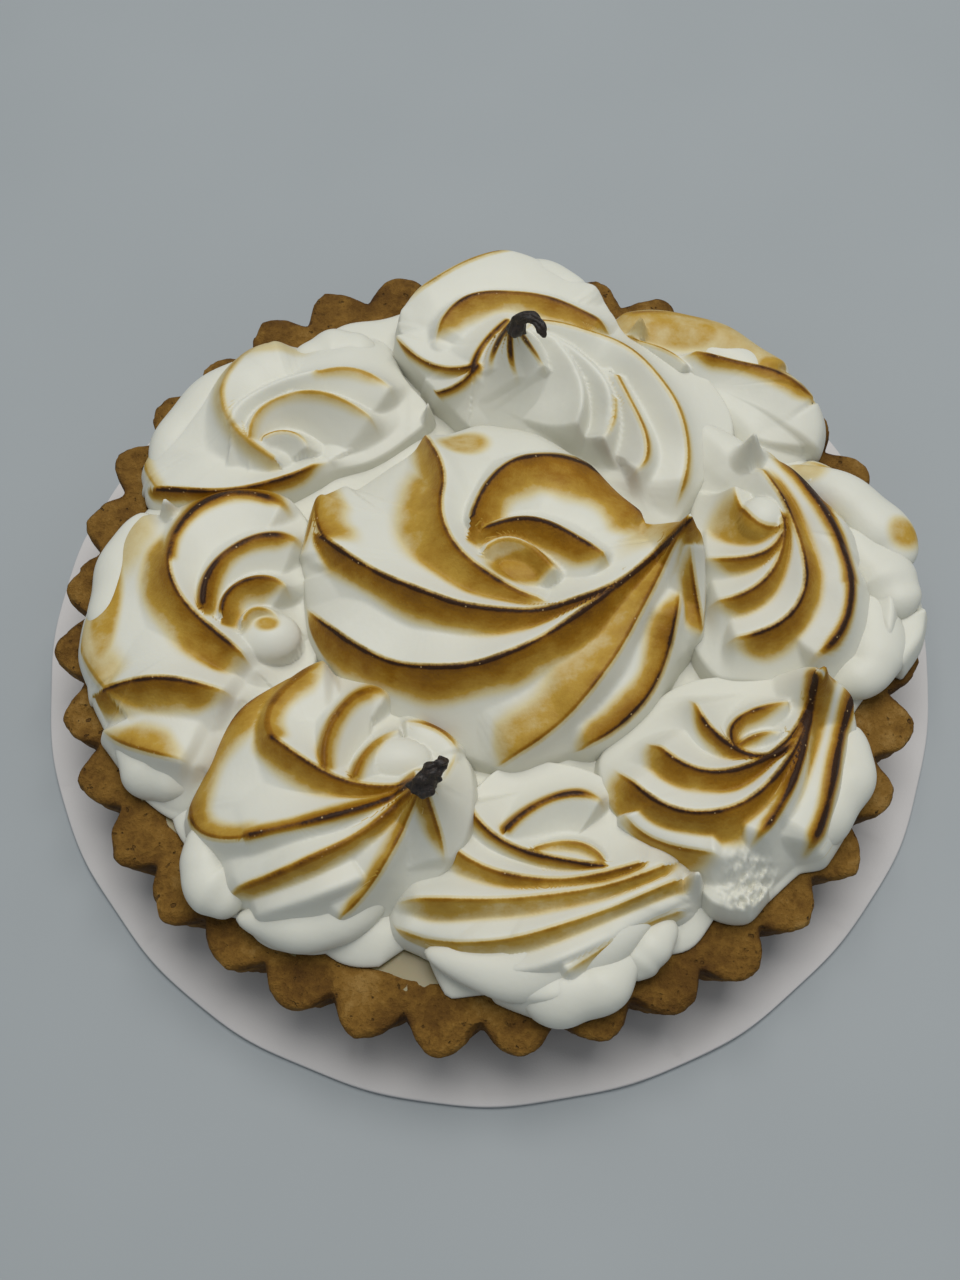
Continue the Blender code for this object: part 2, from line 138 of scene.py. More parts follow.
# Rounded folds of meringue that hang out under the swirls' edges: x, y, height and half width along each.
FOLDS = (
    ((85, 42, 37.5, 6), (104, 31, 37.5, 8.5), (114, 19, 37, 8), (117, 10, 36.5, 6)),
    ((98, 24, 36.5, 6), (111, 8, 36.5, 8.5), (115.5, -5, 36, 7.5)),
    ((106, 6, 35, 6), (108, -10, 34.5, 8.5), (103, -20, 34, 8), (93, -24, 34.5, 6)),
    ((-18, -96, 36, 5), (5, -102, 35.5, 8.5), (25, -96, 35.5, 8.5), (41, -87, 37, 6)),
    ((2, -99, 33, 5), (15, -107.5, 33, 8.5), (27, -105, 33, 8.5), (36, -96, 34.5, 6)),
    ((34, -103, 32, 4), (38, -97, 33, 6.5), (46, -88, 35, 5)),
    ((-78, -62, 37, 5), (-74, -76, 35, 8.5), (-65, -83, 34.5, 7)),
    ((-67, -86, 34, 5), (-49, -87.5, 33.5, 9.5), (-35, -82, 35, 8), (-27, -73, 38, 5)),
    ((-47, -92, 31, 3), (-38, -88, 31, 5.5), (-29, -83, 32.5, 4)),
    ((-100, -33, 34, 5), (-91, -44, 32.5, 9), (-79, -50, 34, 6)),
    ((98, -36, 36, 5), (95, -49, 34.5, 8.5), (88, -61, 34, 8.5), (79, -72, 35, 6)),
    ((-24, 92, 36, 5), (-10, 103, 34.5, 8.5), (8, 108, 34, 9), (25, 104, 34, 8.5), (39, 92, 36, 6)),
    ((-8, 104, 42, 4), (6, 108.5, 41, 6.5), (20, 107, 41, 6), (32, 100, 42, 4.5)),
    ((-95, 42, 36, 5), (-90, 58, 34, 8), (-77, 73, 34, 8.5), (-62, 82, 36, 6)),
    ((-58, 82, 34, 5), (-45, 86.5, 33, 8), (-31, 86, 34, 6)),
    ((42, 92, 34, 5), (60, 88, 33.5, 8), (75, 80, 33.5, 8), (87, 66, 35, 6)),
    ((-97, 33, 35, 5), (-103, 18, 33.5, 7.5), (-105, 2, 33.5, 8), (-104, -14, 35, 6)),
)
# Light browning on the folds: middle, reach and how dark.
FOLD_PATCHES = ((117, 19, 6.5, 0.34), (92, 41, 7.0, 0.2))

# How far out the meringue reaches round the tart: angle from +X, radius.
REACH = ((0, 122), (18, 121), (35, 118), (48, 119), (60, 112), (75, 112), (90, 116), (105, 111),
         (121, 109), (140, 105), (155, 107), (170, 110), (185, 113), (200, 107), (214, 104), (228, 110),
         (242, 109), (248, 107), (253, 105), (256, 99), (260, 99), (264, 109), (270, 112), (280, 118), (294, 114), (312, 113), (330, 117), (345, 113))
REACH_SOFTNESS = 11.0           # depth over which the outer sides are flattened

# The ridges are drawn on a level through each swirl, as they stand over it from one standpoint.
STANDPOINT = (-2.4, -207.8, 485.4)
PLAN_LEVEL = {"centre": 64.0, "left": 52.0, "left_back": 50.0, "left_front": 55.0, "front": 48.0,
              "right_front": 52.0, "right": 54.0, "right_back": 48.0, "right_outer": 50.0, "back": 54.0}

# Ridges of each swirl, as they stand once piped, each run counterclockwise round the swirl's eye:
# x, y and heading at its start, x, y and heading at its end, fullness of its curve, then the widths
# of the browning on its outer and inner side and how dark that browning is.
RIDGES = {
    "centre": (
        (-45, 25, 262, -50, 2, 252, 1.0, 1.5, 0.0, 0.6),
        (-42, 31, 235, -44, 10, 300, 1.0, 0.0, 9.0, 0.8),
        (-44, 10, 322, 54, 13, 50, 1.2, 6.0, 0.0, 1.0),
        (-50, -7, 308, 54, 13, 45, 1.22, 7.5, 0.0, 1.0),
        (-1, -56, 20, 53, 12, 62, 1.0, 0.0, 12.0, 0.65),
        (19, -53, 20, 51, -5, 80, 1.2, 0.0, 6.5, 0.9),
        (54, 8, 268, 56, -24, 275, 1.0, 4.5, 0.0, 0.8),
        (37, 28, 150, -28, 41, 207, 1.7, 0.8, 0.0, 0.6),
        (-20, 46, 305, -12, 23, 255, 1.0, 6.0, 0.0, 0.7),
        (-12, 23, 262, 18, -10, 345, 1.0, 12.0, 0.0, 0.8),
        (45, 8, 108, -4, 16, 257, 1.15, 0.0, 8.5, 1.0),
        (34, 1, 140, 0, 13, 205, 1.1, 0.0, 6.0, 1.0),
        (19, -3, 120, 0, 7, 225, 1.0, 0.0, 5.0, 0.4),
    ),
    "left": (
        (-92, 32, 225, -102, -28, 312, 1.1, 0.0, 9.0, 0.35),
        (-102, -28, 28, -67, -30, 337, 1.0, 7.0, 0.0, 0.9),
        (-53, 23, 128, -87, 12, 268, 1.0, 3.6, 2.4, 0.88),
        (-87, 12, 268, -63, -21, 315, 1.0, 9.0, 0.0, 0.9),
        (-49, 13, 138, -77, -3, 275, 1.0, 2.4, 3.6, 0.86),
        (-53, -1, 120, -72, -5, 272, 1.0, 1.0, 5.5, 0.86),
        (-56, -12, 80, -66, -8, 250, 1.0, 0.0, 3.0, 0.3),
        (-103, -38, 305, -78, -49, 342, 1.0, 0.0, 8.0, 0.6),
    ),
    "left_back": (
        (-53, 86, 193, -92, 33, 308, 1.0, 0.0, 3.5, 0.36),
        (-92, 33, 355, -44, 43, 40, 1.0, 3.0, 1.0, 0.9),
        (-58, 86, 210, -60, 43, 325, 1.35, 3.4, 1.2, 0.3),
        (-25, 63, 128, -48, 71, 195, 1.0, 0.0, 2.6, 0.36),
        (-48, 71, 195, -72, 55, 262, 1.0, 0.0, 0.0, 0.0),
        (-29, 51, 122, -67, 50, 268, 1.0, 0.0, 2.6, 0.32),
        (-50, 44, 95, -62, 50, 215, 1.0, 2.5, 0.0, 0.4),
    ),
    "back": (
        (39, 92, 100, -24, 90, 228, 1.0, 0.8, 0.0, 0.7),
        (39, 79, 132, -14, 78, 262, 1.0, 0.0, 5.5, 0.8),
        (-27, 82, 300, -3, 69, 20, 1.0, 2.0, 0.0, 0.8),
        (-24, 64, 305, -2, 69, 60, 1.0, 2.0, 0.0, 0.8),
        (-3, 67, 85, 7, 84, 40, 1.0, 1.0, 1.5, 1.0),
        (2, 66, 95, 8, 83, 55, 1.0, 1.2, 1.0, 1.2),
        (10, 63, 115, 8, 82, 85, 1.0, 1.2, 1.0, 1.2),
        (18, 67, 125, 9, 82, 125, 1.0, 1.0, 0.5, 1.0),
        (51, 22, 60, 12, 84, 182, 1.0, 1.8, 0.0, 0.46),
        (30, 42, 50, 14, 81, 160, 1.1, 0.0, 0.0, 0.0),
        (39, 34, 8, 38, 65, 112, 0.95, 1.7, 0.0, 0.46),
        (32, 43, 45, 37, 58, 92, 1.0, 0.9, 0.0, 0.44),
        (24, 46, 60, 20, 78, 130, 1.1, 0.0, 0.0, 0.0),
    ),
    "left_front": (
        (-50, -22, 218, -77, -65, 280, 1.0, 1.0, 5.5, 0.72),
        (-77, -65, 285, -62, -70, 15, 1.0, 0.0, 5.5, 0.66),
        (-62, -70, 15, -19, -56, 38, 1.0, 1.5, 3.4, 0.88),
        (-41, -21, 206, -57, -43, 298, 1.0, 5.0, 4.5, 0.62),
        (-57, -43, 320, -19, -56, 15, 1.1, 5.5, 0.0, 0.8),
        (-25, -35, 120, -43, -51, 277, 1.0, 2.8, 3.0, 0.6),
        (-22, -42, 183, -35, -54, 255, 1.0, 2.5, 2.2, 0.5),
        (-8, -50, 108, -24, -40, 188, 1.0, 3.0, 0.0, 0.7),
        (-13, -58, 65, -9, -47, 95, 1.0, 0.0, 2.5, 0.6),
        (-69, -86, 22, -19, -57, 50, 1.0, 3.4, 1.5, 0.72),
        (-41, -94, 35, -18, -58, 68, 1.0, 0.0, 3.5, 0.6),
        (-12, -79, 92, -17, -58, 105, 1.0, 0.0, 4.0, 0.7),
        (-62, -92, 20, -30, -80, 30, 1.0, 0.0, 0.0, 0.0),
    ),
    "front": (
        (-7, -57, 282, 28, -77, 355, 1.0, 2.2, 0.0, 0.9),
        (-14, -68, 310, 37, -77, 18, 1.0, 4.5, 0.0, 0.7),
        (-27, -85, 358, 43, -78, 22, 1.0, 5.5, 0.0, 0.52),
        (-29, -90, 325, 46, -82, 20, 1.0, 4.0, 0.0, 0.42),
        (15, -106, 30, 46, -90, 15, 1.0, 2.5, 0.0, 0.32),
        (30, -62, 128, 4, -67, 228, 1.0, 2.5, 1.5, 0.9),
        (28, -75, 125, 11, -72, 200, 1.0, 0.0, 3.0, 0.5),
        (-17, -98, 318, 46, -88, 25, 1.0, 0.0, 0.0, 0.0),
        (-4, -107, 330, 36, -98, 45, 1.2, 0.0, 0.0, 0.0),
    ),
    "right_front": (
        (40, -42, 303, 86, -28, 78, 1.1, 6.5, 0.0, 1.0),
        (31, -49, 300, 86, -28, 80, 1.2, 9.0, 0.0, 0.9),
        (33, -63, 290, 59, -76, 355, 1.0, 6.0, 0.0, 0.58),
        (65, -74, 40, 86, -28, 80, 1.0, 1.5, 3.0, 1.0),
        (78, -78, 48, 96, -33, 62, 1.0, 2.0, 3.0, 1.0),
        (80, -82, 40, 96, -34, 108, 1.15, 1.0, 0.0, 0.7),
        (53, -30, 278, 81, -41, 70, 1.1, 3.0, 0.0, 1.0),
        (81, -35, 178, 63, -47, 295, 1.0, 0.0, 3.5, 0.9),
        (77, -44, 160, 65, -46, 215, 1.0, 0.0, 2.5, 0.7),
    ),
    "right": (
        (112, 1, 128, 84, 37, 122, 1.0, 2.5, 0.0, 0.7),
        (84, 37, 118, 60, 66, 142, 1.0, 2.5, 0.0, 0.8),
        (84, -24, 22, 98, 0, 90, 1.0, 2.0, 2.0, 0.9),
        (98, 0, 90, 76, 48, 124, 1.0, 2.5, 2.5, 1.0),
        (62, -17, 355, 86, 3, 90, 1.0, 6.0, 0.0, 0.9),
        (86, 3, 90, 75, 37, 120, 1.0, 6.0, 0.0, 0.8),
        (58, -6, 355, 81, 18, 95, 1.0, 5.0, 0.0, 0.8),
        (57, 7, 352, 80, 13, 60, 1.0, 3.5, 0.0, 0.8),
        (69, 31, 262, 79, 16, 15, 1.0, 9.0, 0.0, 0.6),
    ),
    "right_back": (
        (91, 68, 108, 42, 90, 186, 1.0, 0.0, 9.0, 0.4),
        (96, 56, 108, 57, 77, 172, 1.0, 0.0, 3.5, 0.8),
        (93, 42, 60, 95, 60, 110, 1.0, 0.0, 0.0, 0.0),
        (60, 70, 120, 40, 83, 150, 1.0, 1.0, 0.0, 0.6),
    ),
    "right_outer": (
        (116, 3, 92, 86, 39, 172, 1.0, 0.0, 5.0, 0.3),
        (108, -26, 55, 119, -6, 100, 1.0, 0.0, 0.0, 0.0),
        (104, -22, 60, 106, 12, 118, 1.0, 0.0, 0.0, 0.0),
    ),
}

EDGE_SCALLOP = 4.0              # how far an outline draws in between ridges
DOME_INNER, DOME_OUTER = 45.0, 37.0     # level of an outline among the swirls and at the rim
RIDGE_OUTER = 3.0               # how fast a ridge falls away on its outer and inner side
RIDGE_INNER = 8.5
RIDGE_ROUND = 1.1               # radius of its crest
EYE_RADIUS = 15.0               # reach of the hollow at a swirl's eye
TIP_HEIGHT = 15.0               # how steeply a tip stands up
TIP_SPREAD = 4.5
MESH_STEP = 0.62                # distance between a swirl's mesh points
JOIN_REACH = 2.5                # ridges whose end and start are this near are one run
MEET_REACH = 9.0                # ridges whose ends are this near meet at a tip
BROWN_TAPER = 13.0              # distance over which browning fades in at a free end
CREST_REACH = 2.6               # distance from a crest within which its two sides are told apart

# Blobs of meringue and browned patches away from the ridges: x, y, half sizes along X and Y and the
# height of a blob's top, or the darkness of a patch.
BLOBS = {
    "right": ((76, 20, 6.5, 6.5, 55.0),),
    "left": ((-60, -10, 9.0, 7.5, 48.0),),
    "left_front": ((-25, -48, 9.5, 6.5, 52.0),),
    "right_front": ((68, -42, 7.0, 4.0, 46.0), (62, -83, 10.0, 7.0, 40.0), (70, -87, 6.0, 6.0, 37.5)),
    "centre": ((9, 2, 13.0, 7.0, 57.0),),
    "front": ((16, -108, 11.0, 8.0, 31.5), (34, -99, 7.0, 6.0, 34.0)),
}
TORN = (67, -82, 9.0)           # where the meringue was torn off rough, and how far that reaches
PATCHES = {
    "centre": ((-6, 46, 8.0, 6.0, 0.3), (9, 3, 10.0, 5.5, 0.45)),
    "left": ((-106, 4, 5.5, 24.0, 0.34), (-60, -8, 3.6, 2.6, 0.36)),
    "right_back": ((58, 87, 16.0, 7.0, 0.3), (86, 76, 7.0, 5.0, 0.34)),
    "right_outer": ((111, 16, 4.0, 8.0, 0.22),),
    "left_back": ((-66, 84, 16.0, 5.0, 0.16),),
}
WALL_RINGS = 9
WALL_SPREAD = 1.8               # how far the outer side spreads down to the curd


# ------------------------------------------------------------------ node maths

class Wire:
    """A socket in a material; arithmetic on it adds Math nodes."""

    def __init__(self, finish, socket):
        self.finish = finish
        self.socket = socket

    def math(self, operation, *others):
        values = dict(enumerate((self,) + others))
        return self.finish.add("ShaderNodeMath", dict(operation=operation), values)

    def __add__(self, other):
        return self.math("ADD", other)

    def __radd__(self, other):
        return self.math("ADD", other)

    def __sub__(self, other):
        return self.math("SUBTRACT", other)

    def __rsub__(self, other):
        return self.finish.add("ShaderNodeMath", dict(operation="SUBTRACT"), {0: other, 1: self})

    def __mul__(self, other):
        return self.math("MULTIPLY", other)

    def __rmul__(self, other):
        return self.math("MULTIPLY", other)

    def __truediv__(self, other):
        return self.math("DIVIDE", other)

    def __pow__(self, other):
        return self.math("POWER", other)

    def most(self, other):
        return self.math("MAXIMUM", other)

    def least(self, other):
        return self.math("MINIMUM", other)


class Finish:
    """A node material on one Principled shader."""

    def __init__(self, name, slot_colour):
        self.material = bpy.data.materials.new(name)
        self.material.use_nodes = True
        self.material.diffuse_color = (*slot_colour, 1.0)
        self.nodes = self.material.node_tree.nodes
        self.links = self.material.node_tree.links
        self.shader = self.nodes["Principled BSDF"]

    def add(self, kind, settings=None, values=None, output=0):
        """One node: its settings first, then the values or wires of its sockets."""
        node = self.nodes.new(kind)
        for key, value in (settings or {}).items():
            if key == "stops":
                ramp = node.color_ramp
                while len(ramp.elements) < len(value):
                    ramp.elements.new(0.5)
                for element, (place, colour) in zip(ramp.elements, value):
                    element.position = place
                    element.color = (*colour, 1.0)
            else:
                setattr(node, key, value)
        for key, value in (values or {}).items():
            self.put(node.inputs[key], value)
        return Wire(self, node.outputs[output])

    def put(self, socket, value):
        if isinstance(value, Wire):
            self.links.new(value.socket, socket)
        elif isinstance(value, (tuple, list)) and len(value) == 3 and len(socket.default_value) == 4:
            socket.default_value = (*value, 1.0)
        else:
            socket.default_value = value

    def set(self, **values):
        """Sockets of the shader, with _ for a space in their names."""
        for name, value in values.items():
            self.put(self.shader.inputs[name.replace("_", " ")], value)

    def place(self, stretch=(1.0, 1.0, 1.0)):
        """Object coordinates in millimetres, stretched along the axes."""
        spot = self.add("ShaderNodeTexCoord", output="Object")
        scale = tuple(1000.0 * s for s in stretch)
        return self.add("ShaderNodeMapping", None, {"Vector": spot, "Scale": scale})

    def attribute(self, name, output="Fac"):
        return self.add("ShaderNodeAttribute", dict(attribute_name=name), output=output)

    def noise(self, place, size, detail=2.0, roughness=0.5, distortion=0.0):
        """Soft noise from 0 to 1 whose lumps are about that size, in millimetres."""
        return self.add("ShaderNodeTexNoise", dict(noise_dimensions="3D"),
                        {"Vector": place, "Scale": 1.0 / size, "Detail": detail,
                         "Roughness": roughness, "Distortion": distortion})

    def cells(self, place, size, randomness=1.0):
        """Distance to the nearest of scattered points that lie about that far apart."""
        return self.add("ShaderNodeTexVoronoi", dict(feature="F1"),
                        {"Vector": place, "Scale": 1.0 / size, "Randomness": randomness})

    def step(self, wire, low, high, start=0.0, end=1.0):
        """Smooth step of a wire from start at low to end at high."""
        return self.add("ShaderNodeMapRange", dict(interpolation_type="SMOOTHSTEP"),
                        {"Value": wire, "From Min": low, "From Max": high,
                         "To Min": start, "To Max": end})

    def blend(self, share, a, b, how="MIX"):
        """Colour a turned to colour b by a share."""
        node = self.nodes.new("ShaderNodeMix")
        node.data_type = "RGBA"
        node.blend_type = how
        self.put(node.inputs["Factor"], share)
        for index, value in ((6, a), (7, b)):
            self.put(node.inputs[index], value)
        return Wire(self, node.outputs[2])

    def ramp(self, wire, *stops):
        return self.add("ShaderNodeValToRGB", dict(stops=stops), {"Fac": wire}, "Color")

    def bump(self, height, distance, strength=1.0, under=None):
        """Relief of a height wire whose 1 stands for a distance in millimetres."""
        values = {"Height": height, "Distance": distance * MM, "Strength": strength}
        if under:
            values["Normal"] = under
        return self.add("ShaderNodeBump", None, values, "Normal")


# ------------------------------------------------------------------ mesh helpers

def ease(x):
    x = np.clip(x, 0.0, 1.0)
    return x * x * (3.0 - 2.0 * x)


def mix(a, b, share):
    return a + (b - a) * share


def skin_grid(rings, attributes=None, uv=None):
    """Closed mesh data from an array of rings (rows, columns, 3) in mm, each end closed by a fan."""
    rows, columns = rings.shape[:2]
    verts = np.concatenate([rings.reshape(-1, 3), rings[0].mean(0)[None], rings[-1].mean(0)[None]])
    row = np.arange(rows - 1)[:, None]
    col = np.arange(columns)[None, :]
    nxt = (col + 1) % columns
    quads = np.stack([row * columns + col, row * columns + nxt,
                      (row + 1) * columns + nxt, (row + 1) * columns + col], -1).reshape(-1, 4)
    low, high = rows * columns, rows * columns + 1
    last = (rows - 1) * columns
    col, nxt = col[0], nxt[0]
    fans = [np.stack([nxt, col, np.full(columns, low)], -1),
            np.stack([last + col, last + nxt, np.full(columns, high)], -1)]
    return verts, quads, np.concatenate(fans)


def mesh_from(name, verts, quads, tris):
    """Mesh from arrays of vertices in mm, quads and triangles, made quickly."""
    mesh = bpy.data.meshes.new(name)
    mesh.vertices.add(len(verts))
    mesh.vertices.foreach_set("co", (verts * MM).astype(np.float32).ravel())
    corners = np.concatenate([quads.ravel(), tris.ravel()]).astype(np.int32)
    mesh.loops.add(len(corners))
    mesh.loops.foreach_set("vertex_index", corners)
    starts = np.concatenate([np.arange(len(quads)) * 4, len(quads) * 4 + np.arange(len(tris)) * 3])
    mesh.polygons.add(len(starts))
    mesh.polygons.foreach_set("loop_start", starts.astype(np.int32))
    mesh.update(calc_edges=True)
    mesh.validate()
    return mesh


def outward(mesh):
    """Turn the mesh inside out when its volume comes out negative."""
    bm = bmesh.new()
    bm.from_mesh(mesh)
    if bm.calc_volume(signed=True) < 0.0:
        bmesh.ops.reverse_faces(bm, faces=bm.faces)
    bm.to_mesh(mesh)
    bm.free()


def give(mesh, name, values):
    mesh.attributes.new(name, "FLOAT", "POINT").data.foreach_set("value", values.astype(np.float32))


def show(name, mesh, finish, slot, *nodes):
    """Link a finished mesh as a piece that stands for CAD nodes."""
    obj = bpy.data.objects.new(name, mesh)
    bpy.context.scene.collection.objects.link(obj)
    dress(obj, finish, slot, *nodes)
    return obj


def dress(obj, finish, slot, *nodes):
    obj.data.materials.clear()
    obj.data.materials.append(finish.material)
    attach(obj, "root")
    if nodes:
        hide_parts(*nodes)


def noise_bumps(x, y, size, seed, octaves=3):
    """Smooth uneven waves of about unit height over a plane, with lumps of that size in mm."""
    dice = np.random.default_rng(seed)
    total = 0.0 * x
    for octave in range(octaves):
        reach = size / 2.0 ** octave
        for _ in range(5):
            way, lag = dice.uniform(0.0, 2.0 * math.pi, 2)
            total = total + np.sin((x * math.cos(way) + y * math.sin(way)) * 2.0 * math.pi / reach + lag
                                   ) / 2.2 / 2.0 ** octave
    return total


def vertex_places(mesh):
    places = np.empty(len(mesh.vertices) * 3, dtype=np.float32)
    mesh.vertices.foreach_get("co", places)
    return places.reshape(-1, 3).astype(float) / MM


def move_vertices(mesh, places):
    mesh.vertices.foreach_set("co", (places * MM).astype(np.float32).ravel())
    mesh.update()


def disc_of_rings(name, radius, thickness, top, columns, rings, step):
    """Round slab whose top face is inset into rings, standing as the active object."""
    deselect()
    bpy.ops.mesh.primitive_cylinder_add(vertices=columns, radius=radius * MM, depth=thickness * MM,
                                        location=(0.0, 0.0, (top - thickness / 2.0) * MM))
    bpy.ops.object.transform_apply(location=True)
    obj = bpy.context.object
    obj.name = obj.data.name = name
    bpy.ops.object.mode_set(mode="EDIT")
    bm = bmesh.from_edit_mesh(obj.data)
    for face in bm.faces:
        face.select_set(face.normal.z > 0.9)
    bmesh.update_edit_mesh(obj.data)
    for _ in range(rings):
        bpy.ops.mesh.inset(thickness=step * MM)
    bpy.ops.mesh.poke()
    bpy.ops.object.mode_set(mode="OBJECT")
    return obj


def deselect():
    if bpy.context.object and bpy.context.object.mode != "OBJECT":
        bpy.ops.object.mode_set(mode="OBJECT")
    bpy.ops.object.select_all(action="DESELECT")


# ------------------------------------------------------------------ board, crust and curd shapes

def board_piece(sizes):
    """Thin card disc with a softened edge that is cut a little unevenly and lifts in places."""
    board_radius = sizes.board_radius / MM
    obj = disc_of_rings("card_board", board_radius, BOARD_THICKNESS, BOARD_THICKNESS, 1080, 14, 3.0)
    bpy.ops.object.mode_set(mode="EDIT")
    bm = bmesh.from_edit_mesh(obj.data)
    for edge in bm.edges:
        rim = all(math.hypot(vert.co.x, vert.co.y) > (board_radius - 0.2) * MM for vert in edge.verts)
        level = abs(edge.verts[0].co.z - edge.verts[1].co.z) < 0.1 * MM
        edge.select_set(rim and level)
    bmesh.update_edit_mesh(obj.data)
    bpy.ops.mesh.bevel(offset=0.45 * MM, segments=3)
    bpy.ops.object.mode_set(mode="OBJECT")
    places = vertex_places(obj.data)
    radius = np.hypot(places[:, 0], places[:, 1])
    angle = np.arctan2(places[:, 1], places[:, 0])
    edge = ease((radius - 118.0) / 12.0)
    cut = edge * (0.25 * np.sin(11.0 * angle + 1.0) + 0.2 * np.sin(23.0 * angle) - 0.45)
    places[:, :2] *= (1.0 + cut / np.maximum(radius, 1.0))[:, None]
    upper = places[:, 2] > BOARD_THICKNESS / 2.0
    wrinkle = 0.12 * noise_bumps(places[:, 0], places[:, 1], 26.0, 4) - 0.22
    for turn, start, end in CREASES:
        across = radius * np.sin(angle - math.radians(turn) - 0.002 * (radius - start))
        facing = np.cos(angle - math.radians(turn)) > 0.0
        along = ease((radius - start) / 2.0) * ease((end - radius) / 2.0) * facing
        wrinkle -= CREASE_DEPTH * along * np.exp(-(across / CREASE_WIDTH) ** 2)
    places[:, 2] += np.where(upper & (radius > 100.0), wrinkle * ease((radius - 100.0) / 8.0), 0.0)
    move_vertices(obj.data, places)
    bpy.ops.object.shade_smooth_by_angle(angle=math.radians(40.0))
    return obj


def lobes(angle, seed):
    """Fluted edge, 1 on the round crowns and -1 in the narrow grooves, with each flute its own size."""
    dice = np.random.default_rng(seed)
    size = dice.uniform(0.72, 1.12, FLUTES)
    lean = dice.uniform(-0.45, 0.45, FLUTES)
    turn = (angle - math.radians(FLUTE_TURN)) * FLUTES / (2.0 * math.pi)
    index = np.round(turn).astype(int)
    inside = (turn - index) * 2.0 * math.pi
    inside = inside + lean[index % FLUTES] * np.cos(inside / 2.0) ** 2
    wave = 2.0 * (np.cos(inside / 2.0) ** 2 + 0.015) ** 0.62 - 1.0
    wave = np.where(wave > -0.6, -0.6 + (wave + 0.6) * size[index % FLUTES], wave)
    return np.where(wave < 0.0, 1.5 * wave, wave), size[index % FLUTES]


def crust_piece(sizes):
    """Shortcrust case: a ring of edges extruded up the inside, over the rim and down the flutes."""
    profile = [(99.4, 8.0, 0.0), (101.8, 22.0, 0.0), (102.4, 26.6, 0.0), (103.0, 28.2, 0.0), (104.4, 28.9, 0.0),
               (107.0, 29.0, 0.0), (110.0, 29.0, 0.02), (112.0, 29.0, 0.1), (114.2, 29.0, 0.35), (116.2, 29.0, 0.72),
               (117.3, 28.8, 0.92), (118.0, 28.3, 1.0), (118.3, 27.4, 1.0), (118.1, 26.0, 0.99),
               (117.5, 23.5, 0.97), (116.7, 20.5, 0.95), (115.8, 17.0, 0.92), (114.9, 13.5, 0.88),
               (113.9, 10.0, 0.84), (112.8, 6.8, 0.8), (111.8, 4.4, 0.76), (110.6, 3.0, 0.7), (108.8, 2.3, 0.6)]
    count = FLUTES * FLUTE_COLUMNS
    deselect()
    bpy.ops.mesh.primitive_circle_add(vertices=count, radius=profile[0][0] * MM,
                                      location=(0.0, 0.0, profile[0][1] * MM))
    bpy.ops.object.transform_apply(location=True)
    obj = bpy.context.object
    obj.name = obj.data.name = "shortcrust_case"
    bpy.ops.object.mode_set(mode="EDIT")
    bpy.ops.mesh.select_all(action="SELECT")
    for (r0, z0, _), (r1, z1, _) in zip(profile, profile[1:]):
        bpy.ops.mesh.extrude_edges_move(TRANSFORM_OT_translate={"value": (0.0, 0.0, (z1 - z0) * MM)})
        bpy.ops.transform.resize(value=(r1 / r0, r1 / r0, 1.0), center_override=(0.0, 0.0, z1 * MM))
    bpy.ops.mesh.edge_face_add()
    bpy.ops.mesh.poke()
    bpy.ops.mesh.select_all(action="DESELECT")
    bpy.ops.mesh.select_non_manifold()
    bpy.ops.mesh.edge_face_add()
    bpy.ops.mesh.poke()
    bpy.ops.mesh.select_all(action="SELECT")
    bpy.ops.mesh.normals_make_consistent(inside=False)
    bpy.ops.object.mode_set(mode="OBJECT")

    places = vertex_places(obj.data)
    radius = np.hypot(places[:, 0], places[:, 1])
    angle = np.arctan2(places[:, 1], places[:, 0])
    wave, size = lobes(angle, 21)
    heights = np.array([z for _, z, _ in profile])
    radii = np.array([r for r, _, _ in profile])
    ring = np.argmin(np.abs(radius[:, None] - radii) + np.abs(places[:, 2:] - heights), axis=1)
    share = np.array([s for _, _, s in profile])[ring]
    depth = mix(FOOT_FLUTE_DEPTH, sizes.flute_depth / MM, ease((places[:, 2] - 3.0) / 24.0))
    rough = noise_bumps(places[:, 0] + places[:, 2], places[:, 1] - places[:, 2], 9.0, 7)
    grow = share * depth * wave + 0.3 * rough * (share > 0.0) + 0.5 * (share == 0.0) * (
        np.sin(angle * 7.0) + np.sin(angle * 19.0)) * (places[:, 2] > 24.0) * (radius > 100.0)
    places[:, :2] *= (1.0 + grow / np.maximum(radius, 1.0))[:, None]
    top = ease((places[:, 2] - 24.0) / 4.0) * (radius > 100.0)
    places[:, 2] += top * (0.16 * rough + (size - 1.0) * 1.1 * share
                           + 0.25 * np.sin(5.0 * angle) * share - 0.35)
    move_vertices(obj.data, places)
    # Mask of the flutes' narrow grooves, read by the crust's finish to paint shade into them.
    give(obj.data, "groove", np.clip((0.35 - wave) / 1.2, 0.0, 1.0) * share)
    bpy.ops.object.shade_smooth_by_angle(angle=math.radians(60.0))
    return obj


def curd_piece():
    """Lemon curd poured level with the rim, its edge drawn up a little against the pastry."""
    obj = disc_of_rings("curd_filling", CURD_RADIUS, 20.0, CURD_LEVEL, 180, 16, 1.5)
    places = vertex_places(obj.data)
    radius = np.hypot(places[:, 0], places[:, 1])
    angle = np.arctan2(places[:, 1], places[:, 0])
    upper = places[:, 2] > CURD_LEVEL - 0.5
    waves = 0.22 * noise_bumps(places[:, 0], places[:, 1], 30.0, 9) - 0.3
    edge = ease((radius - 102.0) / 5.4)
    places[:, 2] += np.where(upper, waves + 0.25 * edge, 0.0)
    places[:, :2] *= np.where(upper, 1.0, 102.6 / CURD_RADIUS)[:, None]
    uneven = 0.6 * np.sin(angle * 5.0) + 0.4 * np.sin(angle * 13.0)
    places[:, :2] *= (1.0 + uneven * edge * upper / np.maximum(radius, 1.0))[:, None]
    move_vertices(obj.data, places)
    bpy.ops.object.shade_smooth_by_angle(angle=math.radians(50.0))
    return obj


